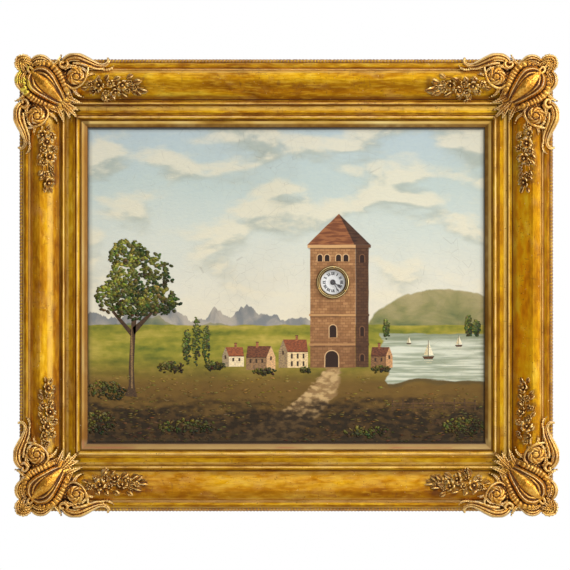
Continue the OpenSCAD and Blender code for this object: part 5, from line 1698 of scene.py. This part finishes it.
# Dark and light tint, roughness, patches in a metre and shine of the movement's brass; the
# radius of the arbor that is one solid with the centre wheel, in millimetres
BRASS = ((176, 132, 60), (214, 176, 102), 0.36, 40, 0.95)
CENTRE_ARBOR = 3.2
ring_brass = metal("turned_brass", (92, 70, 30), (158, 124, 62), 0.34, 70, 0.85, (74, 48, 22), 0.56,
                   lathe=True)
brass = metal("clock_brass", *BRASS, (112, 82, 42))
centre_brass = metal("centre_wheel_brass", *BRASS, arbor=CENTRE_ARBOR)
steel = metal("filed_steel", (112, 112, 114), (158, 158, 160), 0.38, 50, 0.95, (96, 78, 62), 0.66)
blued = metal("flame_blued_steel", (24, 18, 20), (46, 34, 38), 0.45, 300, 0.3)
spring_blue = metal("blued_spring", (40, 50, 84), (86, 84, 110), 0.32, 60, 0.9, (96, 70, 60))
iron = metal("forged_iron", (58, 54, 50), (88, 82, 76), 0.55, 45, 0.7, (116, 66, 38), 0.54)

dress(ring_brass, "bezel")
dress(brass, "bezel_screws", "door_hinge_leaves", "bolt_keeper", "case_hinge_leaves", "bolt_plate",
      "front_plate", "back_plate", "plate_pillars", "pendulum_cock", "dial_plate", "going_barrel",
      "strike_barrel", "minute_wheel", "hour_wheel", "third_wheel", "escape_wheel", "pin_wheel",
      "pendulum_bob", "rating_nut")
dress(steel, "door_screws", "case_screws", "hinge_pins", "pillar_nuts", "door_bolt", "going_arbor",
      "strike_arbor", "going_click", "strike_click", "cannon_pinion", "pallets", "pendulum_rod",
      "fly", "hammer")
dress(centre_brass, "centre_wheel")
dress(blued, "hour_hand", "minute_hand")
dress(spring_blue, "going_mainspring", "strike_mainspring", "gong")
dress(iron, "gong_stand", "hanger_plate")
print("metals dressed")

# %% [markdown]
# Enamel is glass on metal: white, glossy, and never quite even. The glass over it is thin and
# old, and is shown as a nearly clear sheet whose shine comes from its own roughness.

# %% Enamel and glass
recipe, spot, *_ = new_recipe("white_enamel")
mist = recipe.noise(spot, 120, 5)
hairline = recipe.cells(spot, 90.0).above(0.012, 0.002) * mist.above(0.50, 0.60)
enamel_white = recipe.blend(mist, (250, 250, 248), (255, 255, 254))
enamel = recipe.finish(
    Base_Color=recipe.blend(hairline * 0.35, enamel_white, (150, 144, 132)),
    Roughness=0.14 + mist * 0.1,
    Normal=recipe.bump(mist, 0.0001),
    Coat_Weight=0.3,
)
recipe, spot, *_ = new_recipe("old_glass")
smear = recipe.noise(spot, 60, 4)
glass = recipe.finish(
    Base_Color=recipe.blend(smear, (236, 242, 240), (250, 252, 252)),
    Roughness=0.04 + smear * 0.06,
    Alpha=0.012 + smear * 0.016,
)
dress(enamel, "dial")
dress(glass, "dial_glass")
print("dial and glass dressed")

# %% [markdown]
# The case is a plain pine box that nobody was meant to see. Its boards are sawn along the
# grain, so each direction of board gets its own stretch of the same wood: long wandering
# rings, fine pores, a few knots, and the brown of old dust on what lies outside.


# %% Pine boards
PLANK = 146


def pine(name, stretch, tone=1.0):
    """Boards a plank wide; a stretch below 1 runs along the grain, a tone below 1 is darker."""
    recipe, spot, x, _, z = new_recipe(name)
    across = (z if stretch[0] < 1 else x) / PLANK
    plank = across.sum("FLOOR")
    jumps = {"X": plank * 0.37, "Y": plank * 0.21, "Z": plank * 0.53}
    jump = recipe.add("ShaderNodeCombineXYZ", sockets=jumps)
    shifted = recipe.add("ShaderNodeVectorMath", {"operation": "ADD"}, {0: spot, 1: jump})
    rings = recipe.noise(shifted, 13, 3, stretch, warp=0.5)
    waves = ((rings * 70).sum("SINE") + 1) * 0.5
    pores = recipe.noise(spot, 420, 4, stretch)
    tone_shift = recipe.noise(shifted, 3, 1, (0.1, 0.1, 0.1))
    board = recipe.ramp(
        waves * 0.30 + pores * 0.34 + tone_shift * 0.36,
        (0.24, 146 * tone, 100 * tone, 56 * tone),
        (0.46, 186 * tone, 140 * tone, 88 * tone),
        (0.70, 214 * tone, 172 * tone, 118 * tone),
    )
    seam = (across - plank - 0.5).size().above(0.490, 0.496)
    grime = recipe.noise(spot, 7, 5, shift=(0.2, 0.5, 0.9)).above(0.42, 0.68)
    drawn = recipe.add("ShaderNodeMapping", sockets={"Vector": spot, "Scale": stretch})
    knots = recipe.add("ShaderNodeTexVoronoi", sockets={"Vector": drawn, "Scale": 5.0}, out="Distance")
    colour = recipe.layers(
        board,
        (grime * 0.4, (112 * tone, 82 * tone, 52 * tone)),
        (seam * 0.85, (48, 32, 20)),
        (knots.above(0.05, 0.02) * 0.8, (84, 48, 26)),
    )
    return recipe.finish(
        Base_Color=colour,
        Roughness=0.62 + pores * 0.2,
        Normal=recipe.bump(pores * 0.6 + waves * 0.4 - seam * 2.0, 0.0004),
    )


pine_along = pine("pine_along", (0.08, 1, 1))
pine_upright = pine("pine_upright", (1, 1, 0.08))
pine_dark = pine("pine_backboard", (1, 1, 0.07), 0.88)
dress(pine_along, "case_top", "case_bottom", "seat_board", "panel_battens")
dress(pine_upright, "case_left_side", "case_right_side", "seat_brackets")
dress(pine_dark, "case_back")
print("case boards dressed")
